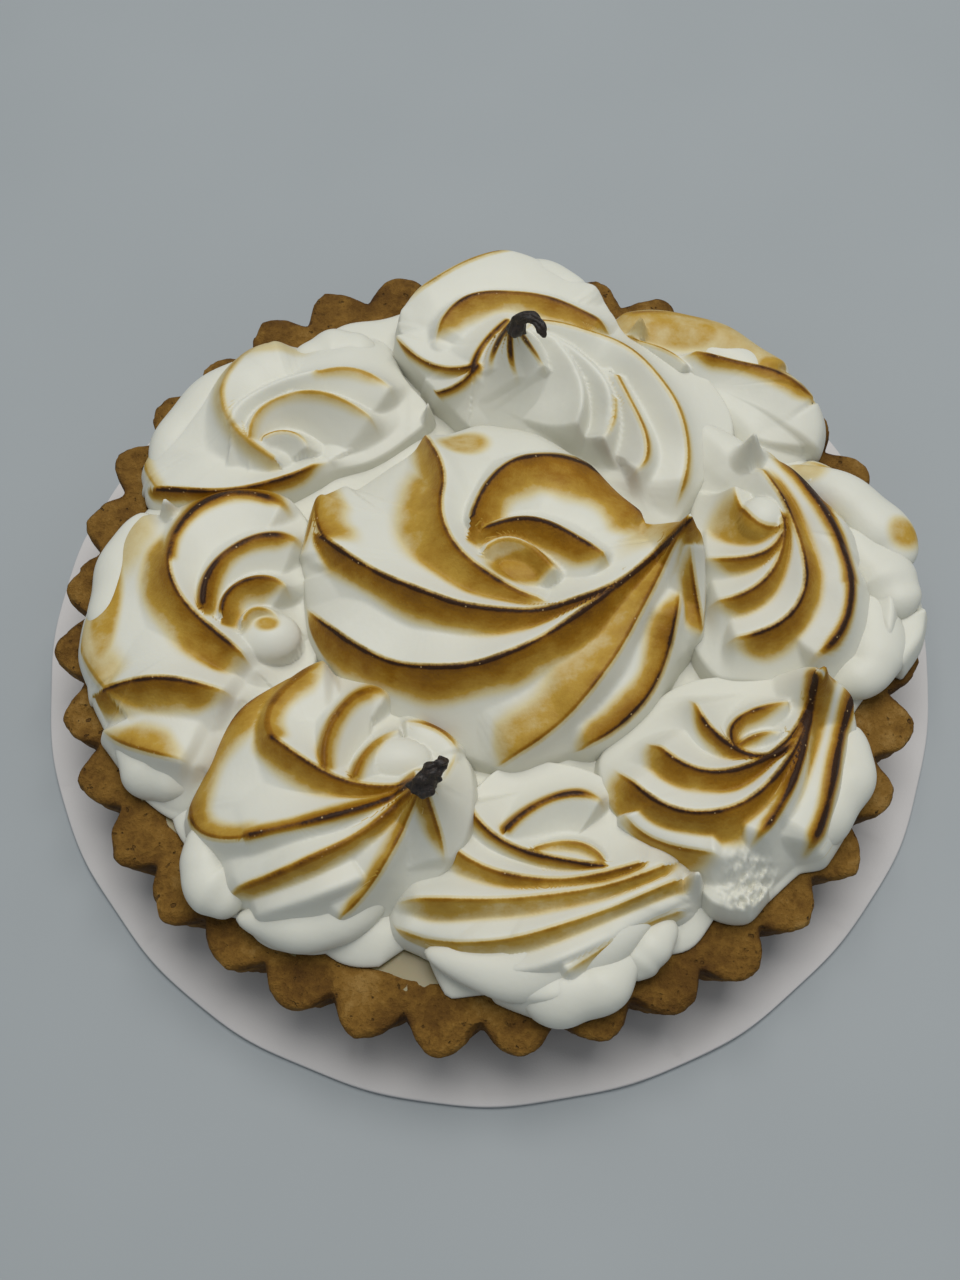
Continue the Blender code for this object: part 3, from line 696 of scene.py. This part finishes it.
# ------------------------------------------------------------------ meringue shape

def held_in(places):
    """Places drawn inward so that none lies beyond the meringue's reach."""
    radius = np.hypot(places[..., 0], places[..., 1])
    angle = np.degrees(np.arctan2(places[..., 1], places[..., 0])) % 360.0
    around, reach = np.array(REACH + ((360 + REACH[0][0], REACH[0][1]),), dtype=float).T
    edge = np.interp(angle, around, reach) - REACH_SOFTNESS
    over = np.maximum(radius - edge, 0.0) / REACH_SOFTNESS
    kept = np.where(over > 0.0, edge + REACH_SOFTNESS * (1.0 - np.exp(-over) + 0.06 * over), radius)
    places = places.copy()
    places[..., :2] *= (kept / np.maximum(radius, 1e-6))[..., None]
    return places


def ridge_curve(ridge, count=44):
    """Points along one ridge: a round bow between its ends that leaves and meets them at its headings."""
    x0, y0, leave, x1, y1, meet, full = ridge[:7]
    turning = math.radians(math.remainder(meet - leave, 360.0))
    pull = full * math.hypot(x1 - x0, y1 - y0) / math.cos(turning / 4.0) ** 2
    leave, meet = math.radians(leave), math.radians(meet)
    u = np.linspace(0.0, 1.0, count)[:, None]
    start, end = np.array((x0, y0), dtype=float), np.array((x1, y1), dtype=float)
    first = pull * np.array((math.cos(leave), math.sin(leave)))
    last = pull * np.array((math.cos(meet), math.sin(meet)))
    return ((2 * u ** 3 - 3 * u ** 2 + 1) * start + (u ** 3 - 2 * u ** 2 + u) * first
            + (3 * u ** 2 - 2 * u ** 3) * end + (u ** 3 - u ** 2) * last)


def beside_curve(places, curve):
    """Distance of places to a curve, positive on its right-hand side, and the share of the nearest spot."""
    start, run = curve[:-1], np.diff(curve, axis=0)
    length = (run ** 2).sum(-1)
    off = places[:, None] - start[None]
    along = np.clip((off * run).sum(-1) / length, 0.0, 1.0)
    gap = off - along[..., None] * run
    far = (gap ** 2).sum(-1)
    nearest = far.argmin(1)
    row = np.arange(len(places))
    side = run[nearest, 1] * off[row, nearest, 0] - run[nearest, 0] * off[row, nearest, 1]
    return np.sqrt(far[row, nearest]) * np.where(side < 0.0, -1.0, 1.0), (nearest + along[row, nearest]) / len(run)


def ridge_marks(places, ridges, seed):
    """Height of the ridges from 0 to 1 at places on the plan, with what their browning needs."""
    dice = np.random.default_rng(seed)
    height, closest = np.zeros(len(places)), np.full(len(places), 40.0)
    marks = {key: np.zeros(len(places)) for key in ("toast", "toast_in", "crest")}
    marks["beside"] = np.full(len(places), CREST_REACH)
    near_margin = 26.0
    found = []
    for ridge in ridges:
        curve = ridge_curve(ridge)
        low, high = curve.min(0) - near_margin, curve.max(0) + near_margin
        near = np.flatnonzero(((places > low) & (places < high)).all(-1))
        beat = dice.uniform(0.0, 2.0 * math.pi, 3)
        if len(near) == 0:
            continue
        off, share = beside_curve(places[near], curve)
        closest[near] = np.minimum(closest[near], np.abs(off))
        reach = np.abs(np.diff(curve, axis=0)).sum()
        wobble = (np.sin(share * reach / 9.0 + beat[0]) + np.sin(share * reach / 5.0 + beat[1])) / 2.0
        follows = any(math.dist(ridge[:2], other[3:5]) < JOIN_REACH for other in ridges)
        goes_on = any(math.dist(ridge[3:5], other[:2]) < JOIN_REACH for other in ridges)
        meets = sum(math.dist(ridge[3:5], other[3:5]) < MEET_REACH for other in ridges) > 1
        rise = 1.0 if follows else ease(share / 0.12 + 0.1)
        ends = rise * (1.0 if goes_on or meets else mix(0.6, 1.0, ease((1.0 - share) / 0.12)))
        burnt = ease(ends * 1.8) * (1.0 if follows else ease(share * reach / BROWN_TAPER))
        burnt = burnt * (1.0 if goes_on or meets else ease((1.0 - share) * reach / BROWN_TAPER))
        fall = np.where(off > 0.0, RIDGE_OUTER + 0.3 * ridge[7], RIDGE_INNER)
        round_off = np.sqrt(off ** 2 + RIDGE_ROUND ** 2) - RIDGE_ROUND
        lift = ends * (0.92 + 0.08 * wobble) * np.exp(-round_off / fall)
        height[near] = np.maximum(height[near], lift)
        found.append((near, off, lift, burnt, wobble, ridge))
    near_out, near_in = np.zeros(len(places)), np.zeros(len(places))
    for near, off, lift, burnt, wobble, ridge in found:
        outer, inner, shade = ridge[7:]
        own = shade * ease(1.0 - (height[near] - lift) / 0.3) * burnt * (0.94 + 0.08 * wobble)
        far = np.abs(off)
        sides = []
        for wide in (outer, inner):
            wide = 1.3 * wide * (1.0 + 0.12 * wobble) * mix(0.4, 1.0, burnt) + 1e-3
            band = (0.47 + 0.5 * np.exp(-far / 2.4)) * ease((wide - far) / (0.42 * wide + 1.4))
            sides.append(own * band)
        nearest = far <= closest[near] + 1e-6
        marks["beside"][near[nearest]] = np.clip(off[nearest], -CREST_REACH, CREST_REACH)
        here = nearest & (far < CREST_REACH)
        spot = near[here]
        near_out[spot], near_in[spot] = sides[0][here], sides[1][here]
        marks["crest"][spot] = own[here] * ease((CREST_REACH - far[here]) / 1.5)
        spot, away = near[~here], np.where(off > 0.0, sides[0], sides[1])[~here]
        marks["toast"][spot] = np.maximum(marks["toast"][spot], away)
    marks["toast_in"] = np.maximum(marks["toast"], near_in)
    marks["toast"] = np.maximum(marks["toast"], near_out)
    return height, marks


def outline(points, turn):
    """Distance from the middle of a closed outline to its smooth edge at each angle, with that middle."""
    spots = np.array(points, dtype=float)
    u = np.linspace(0.0, 1.0, 24, endpoint=False)[:, None]
    before, after, beyond = np.roll(spots, 1, 0), np.roll(spots, -1, 0), np.roll(spots, -2, 0)
    pieces = [p + 0.5 * u * ((q - o) + u * ((2 * o - 5 * p + 4 * q - r) + u * (3 * p - o - 3 * q + r)))
              for o, p, q, r in zip(before, spots, after, beyond)]
    curve = np.concatenate(pieces)
    middle = 0.5 * (curve.max(0) + curve.min(0))
    angle = np.arctan2(*(curve - middle).T[::-1]) % (2.0 * math.pi)
    order = np.argsort(angle)
    reach = np.hypot(*(curve - middle).T)[order]
    return np.interp(turn, angle[order], reach, period=2.0 * math.pi), middle


def on_plan(x, y, z, level):
    """Where places lie on a swirl's plan, whose level the line from the standpoint through them meets."""
    sx, sy, sz = STANDPOINT
    reach = (sz - level) / (sz - z)
    return np.stack([sx + (x - sx) * reach, sy + (y - sy) * reach], -1)


def swirl_mesh(name, swirl, seed, groove_depth):
    """One swirl: a dome of meringue on its outline, hollow at its eye, with its ridges, blobs and tip."""
    ridges = RIDGES[name]
    columns = int(2.0 * math.pi * np.ptp(np.array(swirl["round"]), axis=0).mean() / 2.0 / MESH_STEP)
    turn = np.linspace(0.0, 2.0 * math.pi, columns, endpoint=False)
    along = np.stack([np.cos(turn), np.sin(turn)], -1)
    full, middle = outline(swirl["round"], turn)
    level = PLAN_LEVEL[name]
    outer = swirl.get("rim", DOME_OUTER)
    rim_level = mix(DOME_INNER, outer, ease((np.hypot(*(middle + full[:, None] * along).T) - 70.0) / 32.0))
    rim = ridge_marks(on_plan(*(middle + full[:, None] * along).T, rim_level, level), ridges, seed)[0]
    full = full - EDGE_SCALLOP * (1.0 - rim)
    share = np.linspace(0.01, 1.0, int(full.mean() / MESH_STEP))[:, None]
    share = 0.75 * share + 0.25 * np.sin(share * math.pi / 2.0)
    rings = np.zeros((len(share), columns, 3))
    rings[..., :2] = middle + (share * full)[..., None] * along
    x, y = rings[..., 0], rings[..., 1]
    low = mix(DOME_INNER, outer, ease((np.hypot(x, y) - 70.0) / 32.0))
    dome = low + (swirl["top"] - low) * (1.0 - share ** 3.0) ** 0.9
    eye_x, eye_y, eye_deep = swirl["eye"]
    eye = np.exp(-((x - eye_x) ** 2 + (y - eye_y) ** 2) / EYE_RADIUS ** 2)
    tip_x, tip_y, tip_z = swirl["tip"]
    away = np.hypot(x - tip_x, y - tip_y)
    cone = tip_z - TIP_HEIGHT * (1.0 - np.exp(0.1 - np.sqrt(away ** 2 + 0.36) / TIP_SPREAD)) - 0.9 * away
    plan = on_plan(x, y, np.maximum(dome - 0.5 * eye_deep * eye, cone), level).reshape(-1, 2)
    mark, marks = ridge_marks(plan, ridges, seed)
    mark = mark.reshape(x.shape)
    top = dome - eye_deep * eye * (1.0 - 0.5 * mark) - groove_depth * (1.0 - mark) * mix(1.0, 0.55, share ** 5)
    top = np.maximum(top, cone - 3.0 * (1.0 - mark) * ease(away / 5.0))
    for bx, by, wide, deep, level_top in BLOBS.get(name, ()):
        q = ((x - bx) / wide) ** 2 + ((y - by) / deep) ** 2
        blob = level_top - 0.8 * min(wide, deep) * (1.0 - np.sqrt(np.clip(1.0 - q, 0.0, 1.0)))
        top = np.where(q < 1.0, np.maximum(top, blob), top)
    torn = ease(1.3 - np.hypot(x - TORN[0], y - TORN[1]) / TORN[2])
    top += torn * (1.1 * noise_bumps(x, y, 3.0, 5) - 0.4)
    rings[..., 2] = np.maximum(top, MERINGUE_BASE + 2.0)
    down = np.linspace(0.0, 1.0, WALL_RINGS + 1)[1:, None]
    wall = np.repeat(rings[-1:], WALL_RINGS, axis=0)
    wall[..., 2] = mix(wall[..., 2], MERINGUE_BASE, down)
    wall[..., :2] += along[None] * (WALL_SPREAD * np.sin(down * 1.9))[..., None]
    patches = np.zeros(x.shape)
    for px, py, wide, deep, shade in PATCHES.get(name, ()):
        q = np.sqrt(((x - px) / wide) ** 2 + ((y - py) / deep) ** 2)
        patches = np.maximum(patches, shade * ease((1.15 - q) / 0.6))
    rings = np.concatenate([rings, wall])
    mesh = mesh_from("meringue_" + name, *skin_grid(rings))
    for key, values in marks.items():
        values = values.reshape(x.shape)
        if key.startswith("toast"):
            values = np.maximum(values, patches)
        pad = np.full((WALL_RINGS, columns), CREST_REACH if key == "beside" else 0.0)
        values = np.concatenate([values, pad])
        give(mesh, key, np.append(values.ravel(), [values[0].mean(), values[-1, 0]]))
    outward(mesh)
    mesh.shade_smooth()
    return mesh


def burnt_tip_mesh(name, places, seed):
    """A curled, burnt tip: rings of uneven width along its bend."""
    track = np.array(places)
    u = np.linspace(0.0, len(track) - 1.0, 34)
    smooth = np.stack([np.interp(u, np.arange(len(track)), column) for column in track.T], -1)
    kernel = np.hanning(9)[1:-1] / np.hanning(9)[1:-1].sum()
    inner = np.stack([np.convolve(column, kernel, "valid") for column in smooth.T], -1)
    ahead = np.gradient(inner[:, :3], axis=0)
    ahead /= np.linalg.norm(ahead, axis=1)[:, None]
    aside = np.cross(ahead, (0.3, 0.9, 0.3))
    aside /= np.linalg.norm(aside, axis=1)[:, None]
    above = np.cross(aside, ahead)
    turn = np.linspace(0.0, 2.0 * math.pi, 40, endpoint=False)
    rows = np.arange(len(inner))[:, None]
    lumps = (1.0 + 0.16 * np.sin(3.0 * turn + rows * 0.3 + seed) + 0.10 * np.sin(7.0 * turn - rows * 0.5 + seed)
             + 0.12 * np.sin(rows * 0.9 + 2.0 * np.cos(turn)))
    wide = inner[:, 3:4] * lumps * np.sqrt(np.clip((len(inner) - rows - 0.4) / 5.0, 0.05, 1.0))
    rings = (inner[:, None, :3] + (wide * np.cos(turn))[..., None] * aside[:, None]
             + (0.75 * wide * np.sin(turn))[..., None] * above[:, None])
    mesh = mesh_from(name, *skin_grid(rings))
    outward(mesh)
    mesh.shade_smooth()
    return mesh


def fold_mesh(name, places, seed):
    """A rounded fold of meringue: rings of uneven width along its bend, both ends rounded."""
    track = np.array(places, dtype=float)
    u = np.linspace(0.0, len(track) - 1.0, 56)
    smooth = np.stack([np.interp(u, np.arange(len(track)), column) for column in track.T], -1)
    kernel = np.hanning(17)[1:-1] / np.hanning(17)[1:-1].sum()
    inner = np.stack([np.convolve(np.pad(column, 7, mode="reflect", reflect_type="odd"), kernel, "valid")
                      for column in smooth.T], -1)
    ahead = np.gradient(inner[:, :3], axis=0)
    ahead /= np.linalg.norm(ahead, axis=1)[:, None]
    aside = np.cross(ahead, (0.0, 0.0, 1.0))
    aside /= np.linalg.norm(aside, axis=1)[:, None]
    above = np.cross(aside, ahead)
    turn = np.linspace(0.0, 2.0 * math.pi, 64, endpoint=False)
    share = np.linspace(-0.998, 0.998, len(inner))[:, None]
    lumps = 1.0 + 0.05 * np.sin(2.0 * turn + share * 3.0 + seed) + 0.04 * np.sin(share * 9.0 + seed)
    wide = inner[:, 3:4] * lumps * (1.0 - np.abs(share) ** 3.5) ** 0.5
    rings = (inner[:, None, :3] + (wide * np.cos(turn))[..., None] * aside[:, None]
             + (0.85 * wide * np.sin(turn))[..., None] * above[:, None])
    mesh = mesh_from(name, *skin_grid(rings))
    outward(mesh)
    mesh.shade_smooth()
    spots = vertex_places(mesh)
    toast = np.zeros(len(spots))
    for x, y, reach, shade in FOLD_PATCHES:
        away = np.hypot(spots[:, 0] - x, spots[:, 1] - y)
        toast = np.maximum(toast, shade * ease((reach - away) / 4.0) * (spots[:, 2] > places[0][2] + 1.0))
    give(mesh, "toast", toast)
    give(mesh, "toast_in", toast)
    return mesh


def bed_mesh():
    """Low dome of meringue that fills the hollows between the swirls and laps out to the crust."""
    turn = np.linspace(0.0, 2.0 * math.pi, 360, endpoint=False)
    around, reach = np.array(REACH + ((360 + REACH[0][0], REACH[0][1]),), dtype=float).T
    edge = np.minimum(np.interp(np.degrees(turn), around, reach) - BED_INSET, BED_RADIUS)
    edge += 1.2 * np.sin(turn * 17.0 + 2.0 * np.sin(turn * 5.0)) + 0.8 * np.sin(turn * 29.0 + 1.0)
    share = np.concatenate([np.linspace(0.005, 0.88, 60), 0.88 + 0.12 * np.sin(np.linspace(0.08, 1.0, 16) * math.pi / 2)])
    radii = share[:, None] * edge
    x, y = radii * np.cos(turn), radii * np.sin(turn)
    waves = (np.sin(x / 9.0 + 1.3 * np.sin(y / 14.0)) + np.cos(y / 8.0 + 1.1 * np.sin(x / 12.0 + 2.0))) * 1.3
    top = BED_HEIGHT - BED_FALL * share ** 3
    drop = np.clip((share - 0.86) / 0.14, 0.0, 1.0)
    body = (top - MERINGUE_BASE) * np.sqrt(np.clip(1.0 - drop ** 2.2, 0.0, 1.0))
    z = MERINGUE_BASE + body[:, None] + waves * (1.0 - drop[:, None])
    rings = np.stack([x, y, np.maximum(z, MERINGUE_BASE)], -1)
    mesh = mesh_from("meringue_bed", *skin_grid(rings))
    outward(mesh)
    mesh.shade_smooth()
    return mesh


# ------------------------------------------------------------------ finishes

def meringue_finish(sizes):
    paint = Finish("meringue", (0.80, 0.80, 0.75))
    place = paint.place()
    cloud = paint.noise(place, 7.0, 3.0)
    grain = paint.noise(place, 0.8, 3.0, 0.6)
    beside = paint.attribute("beside") + (grain - 0.5) * 0.35
    side = paint.step(beside, -0.3, 0.3)
    toast = (paint.attribute("toast") * side + paint.attribute("toast_in") * (1.0 - side)) * sizes.torch
    feather = (cloud - 0.5) * 0.45 * paint.step(toast, 0.02, 0.4) + (grain - 0.5) * 0.25 * toast
    crest = (1.0 - paint.step(beside * beside, 0.02, 1.3)) * paint.attribute("crest")
    streak = paint.noise(paint.place((0.35, 1.0, 1.0)), 1.6, 3.0, 0.6)
    amount = toast + feather + crest * (0.12 + 0.35 * cloud) + (streak - 0.5) * 0.16 * paint.step(toast, 0.1, 0.5)
    colour = paint.ramp(amount, (0.0, tuple(sizes.meringue_colour)), (0.15, (0.62, 0.53, 0.30)),
                        (0.34, (0.46, 0.28, 0.040)), (0.60, (0.285, 0.128, 0.003)),
                        (0.84, (0.15, 0.055, 0.001)), (1.1, (0.03, 0.010, 0.002)))
    dark = paint.step(crest + (cloud - 0.5) * 1.1 + (grain - 0.5) * 0.4, 0.62, 1.2)
    colour = paint.blend(dark * 0.68, colour, (0.034, 0.012, 0.002))
    # Light golden specks on the browned crests: painted glints of light on the sugar.
    painted_glint = (1.0 - paint.step(paint.cells(place, 2.4), 0.08, 0.14)) * paint.step(crest, 0.25, 0.6)
    colour = paint.blend(painted_glint * 0.55, colour, (0.60, 0.42, 0.20))
    paint.set(Base_Color=colour, Roughness=0.42 + 0.2 * toast,
              Normal=paint.bump(grain * toast + cloud * 0.6, 0.35))
    paint.set(Subsurface_Weight=0.12, Subsurface_Scale=0.004, Specular_IOR_Level=0.22)
    paint.shader.inputs["Subsurface Radius"].default_value = (1.0, 0.85, 0.6)
    return paint


def char_finish(sizes):
    paint = Finish("burnt_sugar", (0.03, 0.02, 0.015))
    grain = paint.noise(paint.place(), 0.9, 4.0, 0.6)
    colour = paint.ramp(grain, (0.35, (0.006, 0.004, 0.003)), (0.7, (0.035, 0.020, 0.012)))
    paint.set(Base_Color=colour, Roughness=0.45, Normal=paint.bump(grain, 0.5))
    return paint


def crust_finish(sizes):
    paint = Finish("shortcrust", (0.30, 0.17, 0.07))
    place = paint.place()
    grain = paint.noise(place, 1.4, 4.0, 0.65)
    cloud = paint.noise(place, 16.0, 3.0)
    crumb = paint.noise(place, 4.5, 4.0, 0.7)
    groove = paint.attribute("groove")
    pores = paint.step(paint.noise(place, 2.2, 2.0, 0.5), 0.66, 0.74)
    # Tone: random cloud, crumb and grain, less painted shade in the flutes' grooves.
    tone = cloud * 0.45 + crumb * 0.35 + grain * 0.2 - groove * 0.14
    colour = paint.ramp(tone, (0.30, (0.060, 0.024, 0.003)), (0.44, (0.127, 0.059, 0.008)),
                        (0.54, (0.210, 0.106, 0.017)), (0.70, (0.35, 0.205, 0.058)))
    colour = paint.blend(pores * paint.step(cloud, 0.35, 0.6) * 0.7, colour, (0.045, 0.016, 0.003))
    paint.set(Specular_IOR_Level=0.2)
    paint.set(Base_Color=colour, Roughness=0.8, Normal=paint.bump(grain * 1.5 + crumb * 3.0 - pores * 1.5, 0.6))
    return paint


def curd_finish(sizes):
    paint = Finish("lemon_curd", (0.60, 0.52, 0.30))
    place = paint.place()
    cloud = paint.noise(place, 18.0, 2.0)
    # Dark olive: the curd's own olive-yellow darkened with painted shade, for the shadow cast over it by the
    # meringue's edge.
    colour = paint.blend(cloud, (0.20, 0.16, 0.06), (0.28, 0.22, 0.10))
    paint.set(Base_Color=colour, Roughness=0.42, Normal=paint.bump(cloud, 0.5))
    paint.set(Subsurface_Weight=0.2, Subsurface_Scale=0.006)
    return paint


def card_finish(sizes):
    paint = Finish("board_card", (0.36, 0.35, 0.34))
    place = paint.place()
    cloud = paint.noise(place, 40.0, 3.0)
    fibre = paint.noise(place, 0.6, 2.0)
    colour = paint.blend(cloud, (0.53, 0.505, 0.49), (0.60, 0.575, 0.56))
    paint.set(Base_Color=colour, Roughness=0.5 + 0.1 * cloud, Normal=paint.bump(fibre + cloud * 4.0, 0.05))
    return paint


# ------------------------------------------------------------------ settings and operators

class TartSizes(bpy.types.PropertyGroup):
    """Sizes and colours a user would change."""

    board_radius: bpy.props.FloatProperty(
        name="Board radius", description="Half the width of the card board",
        default=0.130, min=0.125, max=0.2, unit="LENGTH", subtype="DISTANCE")
    flute_depth: bpy.props.FloatProperty(
        name="Flute depth", description="How far the crowns of the crust's rim stand out from its middle line",
        default=0.0035, min=0.0, max=0.006, unit="LENGTH", subtype="DISTANCE")
    groove_depth: bpy.props.FloatProperty(
        name="Groove depth", description="How far the meringue sinks between its ridges",
        default=0.0095, min=0.0, max=0.015, unit="LENGTH", subtype="DISTANCE")
    torch: bpy.props.FloatProperty(
        name="Torching", description="How dark the meringue's ridges are browned",
        default=1.0, min=0.0, max=1.5, subtype="FACTOR")
    meringue_colour: bpy.props.FloatVectorProperty(
        name="Meringue colour", description="Colour of the meringue where the flame didn't reach",
        default=(0.665, 0.655, 0.57), min=0.0, max=1.0, size=3, subtype="COLOR")


class TART_OT_board(bpy.types.Operator):
    """Make the round card board under the tart"""

    bl_idname = "tart.board"
    bl_label = "Card board"

    def execute(self, context):
        dress(board_piece(context.scene.tart_sizes), card_finish(context.scene.tart_sizes), "board_card", "cake_board")
        return {"FINISHED"}


class TART_OT_crust(bpy.types.Operator):
    """Make the fluted shortcrust case"""

    bl_idname = "tart.crust"
    bl_label = "Shortcrust case"

    def execute(self, context):
        dress(crust_piece(context.scene.tart_sizes), crust_finish(context.scene.tart_sizes), "shortcrust", "crust")
        return {"FINISHED"}


class TART_OT_curd(bpy.types.Operator):
    """Make the lemon curd"""

    bl_idname = "tart.curd"
    bl_label = "Lemon curd"

    def execute(self, context):
        dress(curd_piece(), curd_finish(context.scene.tart_sizes), "lemon_curd", "lemon_curd")
        return {"FINISHED"}


class TART_OT_meringue(bpy.types.Operator):
    """Pipe and brown the meringue swirls"""

    bl_idname = "tart.meringue"
    bl_label = "Meringue swirls"

    def execute(self, context):
        deselect()
        paint = meringue_finish(context.scene.tart_sizes)
        groove_depth = context.scene.tart_sizes.groove_depth / MM
        for seed, (name, swirl) in enumerate(SWIRLS.items()):
            nodes = () if name == "right_outer" else ("meringue_swirl_" + name,)
            show("swirl_" + name, swirl_mesh(name, swirl, seed + 3, groove_depth), paint, "meringue", *nodes)
        show("meringue_bed", bed_mesh(), paint, "meringue")
        for number, places in enumerate(FOLDS):
            name = "fold_%02d" % (number + 1)
            show(name, fold_mesh(name, places, number), paint, "meringue")
        char = char_finish(context.scene.tart_sizes)
        for number, places in enumerate(BURNT_TIPS):
            name = "burnt_tip_%d" % (number + 1)
            show(name, burnt_tip_mesh(name, places, number), char, "meringue")
        return {"FINISHED"}


class TART_OT_stage(bpy.types.Operator):
    """Set the floor, the soft light and the camera"""

    bl_idname = "tart.stage"
    bl_label = "Stage"

    def execute(self, context):
        deselect()
        scene = context.scene
        bpy.ops.mesh.primitive_plane_add(size=6.0, location=(0.0, 0.0, -0.0002))
        floor = context.object
        floor.name = "floor"
        paint = Finish("table_top", (0.40, 0.43, 0.45))
        cloud = paint.noise(paint.place(), 90.0, 2.0)
        paint.set(Base_Color=paint.blend(cloud, (0.30, 0.325, 0.335), (0.335, 0.36, 0.37)), Roughness=0.55)
        floor.data.materials.append(paint.material)

        world = bpy.data.worlds.new("soft_room")
        world.use_nodes = True
        world.node_tree.nodes["Background"].inputs["Color"].default_value = (0.80, 0.88, 0.95, 1.0)
        world.node_tree.nodes["Background"].inputs["Strength"].default_value = 0.37
        scene.world = world
        for name, spot, size, power in (("ceiling_light", (0.1, 0.4, 1.5), 1.1, 17.3),):
            lamp = bpy.data.lights.new(name, "AREA")
            lamp.shape = "SQUARE"
            lamp.size = size
            lamp.energy = power
            lamp.color = (1.0, 0.985, 0.96)
            obj = bpy.data.objects.new(name, lamp)
            obj.location = spot
            obj.rotation_euler = (Vector((0.0, 0.0, 0.03)) - Vector(spot)).to_track_quat("-Z", "Y").to_euler()
            scene.collection.objects.link(obj)

        camera = bpy.data.cameras.new("camera")
        camera.lens = 50.0
        camera.sensor_width = 36.0
        camera.clip_start = 0.02
        obj = bpy.data.objects.new("camera", camera)
        scene.collection.objects.link(obj)
        pitch, roll = math.radians(66.13), math.radians(-1.005)
        ahead = Vector((0.0, math.cos(pitch), -math.sin(pitch)))
        right = Vector((1.0, 0.0, 0.0))
        above = right.cross(ahead)
        tilted = math.cos(roll) * right + math.sin(roll) * above
        crown = math.cos(roll) * above - math.sin(roll) * right
        turn = Matrix((tilted, crown, -ahead)).transposed().to_4x4()
        obj.matrix_world = Matrix.Translation(Vector((-2.39, -207.8, 485.4)) * MM) @ turn
        scene.camera = obj
        scene.view_settings.view_transform = "Standard"
        return {"FINISHED"}


class TART_PT_panel(bpy.types.Panel):
    """Tart tools"""

    bl_label = "Lemon meringue tart"
    bl_idname = "TART_PT_panel"
    bl_space_type = "VIEW_3D"
    bl_region_type = "UI"
    bl_category = "Tart"

    def draw(self, context):
        sizes = context.scene.tart_sizes
        for name in sizes.bl_rna.properties.keys():
            if name not in ("rna_type", "name"):
                self.layout.prop(sizes, name)
        for step in STEPS:
            self.layout.operator(step.bl_idname)


STEPS = (TART_OT_board, TART_OT_crust, TART_OT_curd, TART_OT_meringue, TART_OT_stage)


def register():
    for cls in (TartSizes,) + STEPS + (TART_PT_panel,):
        bpy.utils.register_class(cls)
    bpy.types.Scene.tart_sizes = bpy.props.PointerProperty(type=TartSizes)


def unregister():
    del bpy.types.Scene.tart_sizes
    for cls in reversed((TartSizes,) + STEPS + (TART_PT_panel,)):
        bpy.utils.unregister_class(cls)


def main():
    register()
    bpy.ops.tart.board()
    bpy.ops.tart.crust()
    bpy.ops.tart.curd()
    bpy.ops.tart.meringue()
    bpy.ops.tart.stage()


if __name__ == "__main__":
    main()
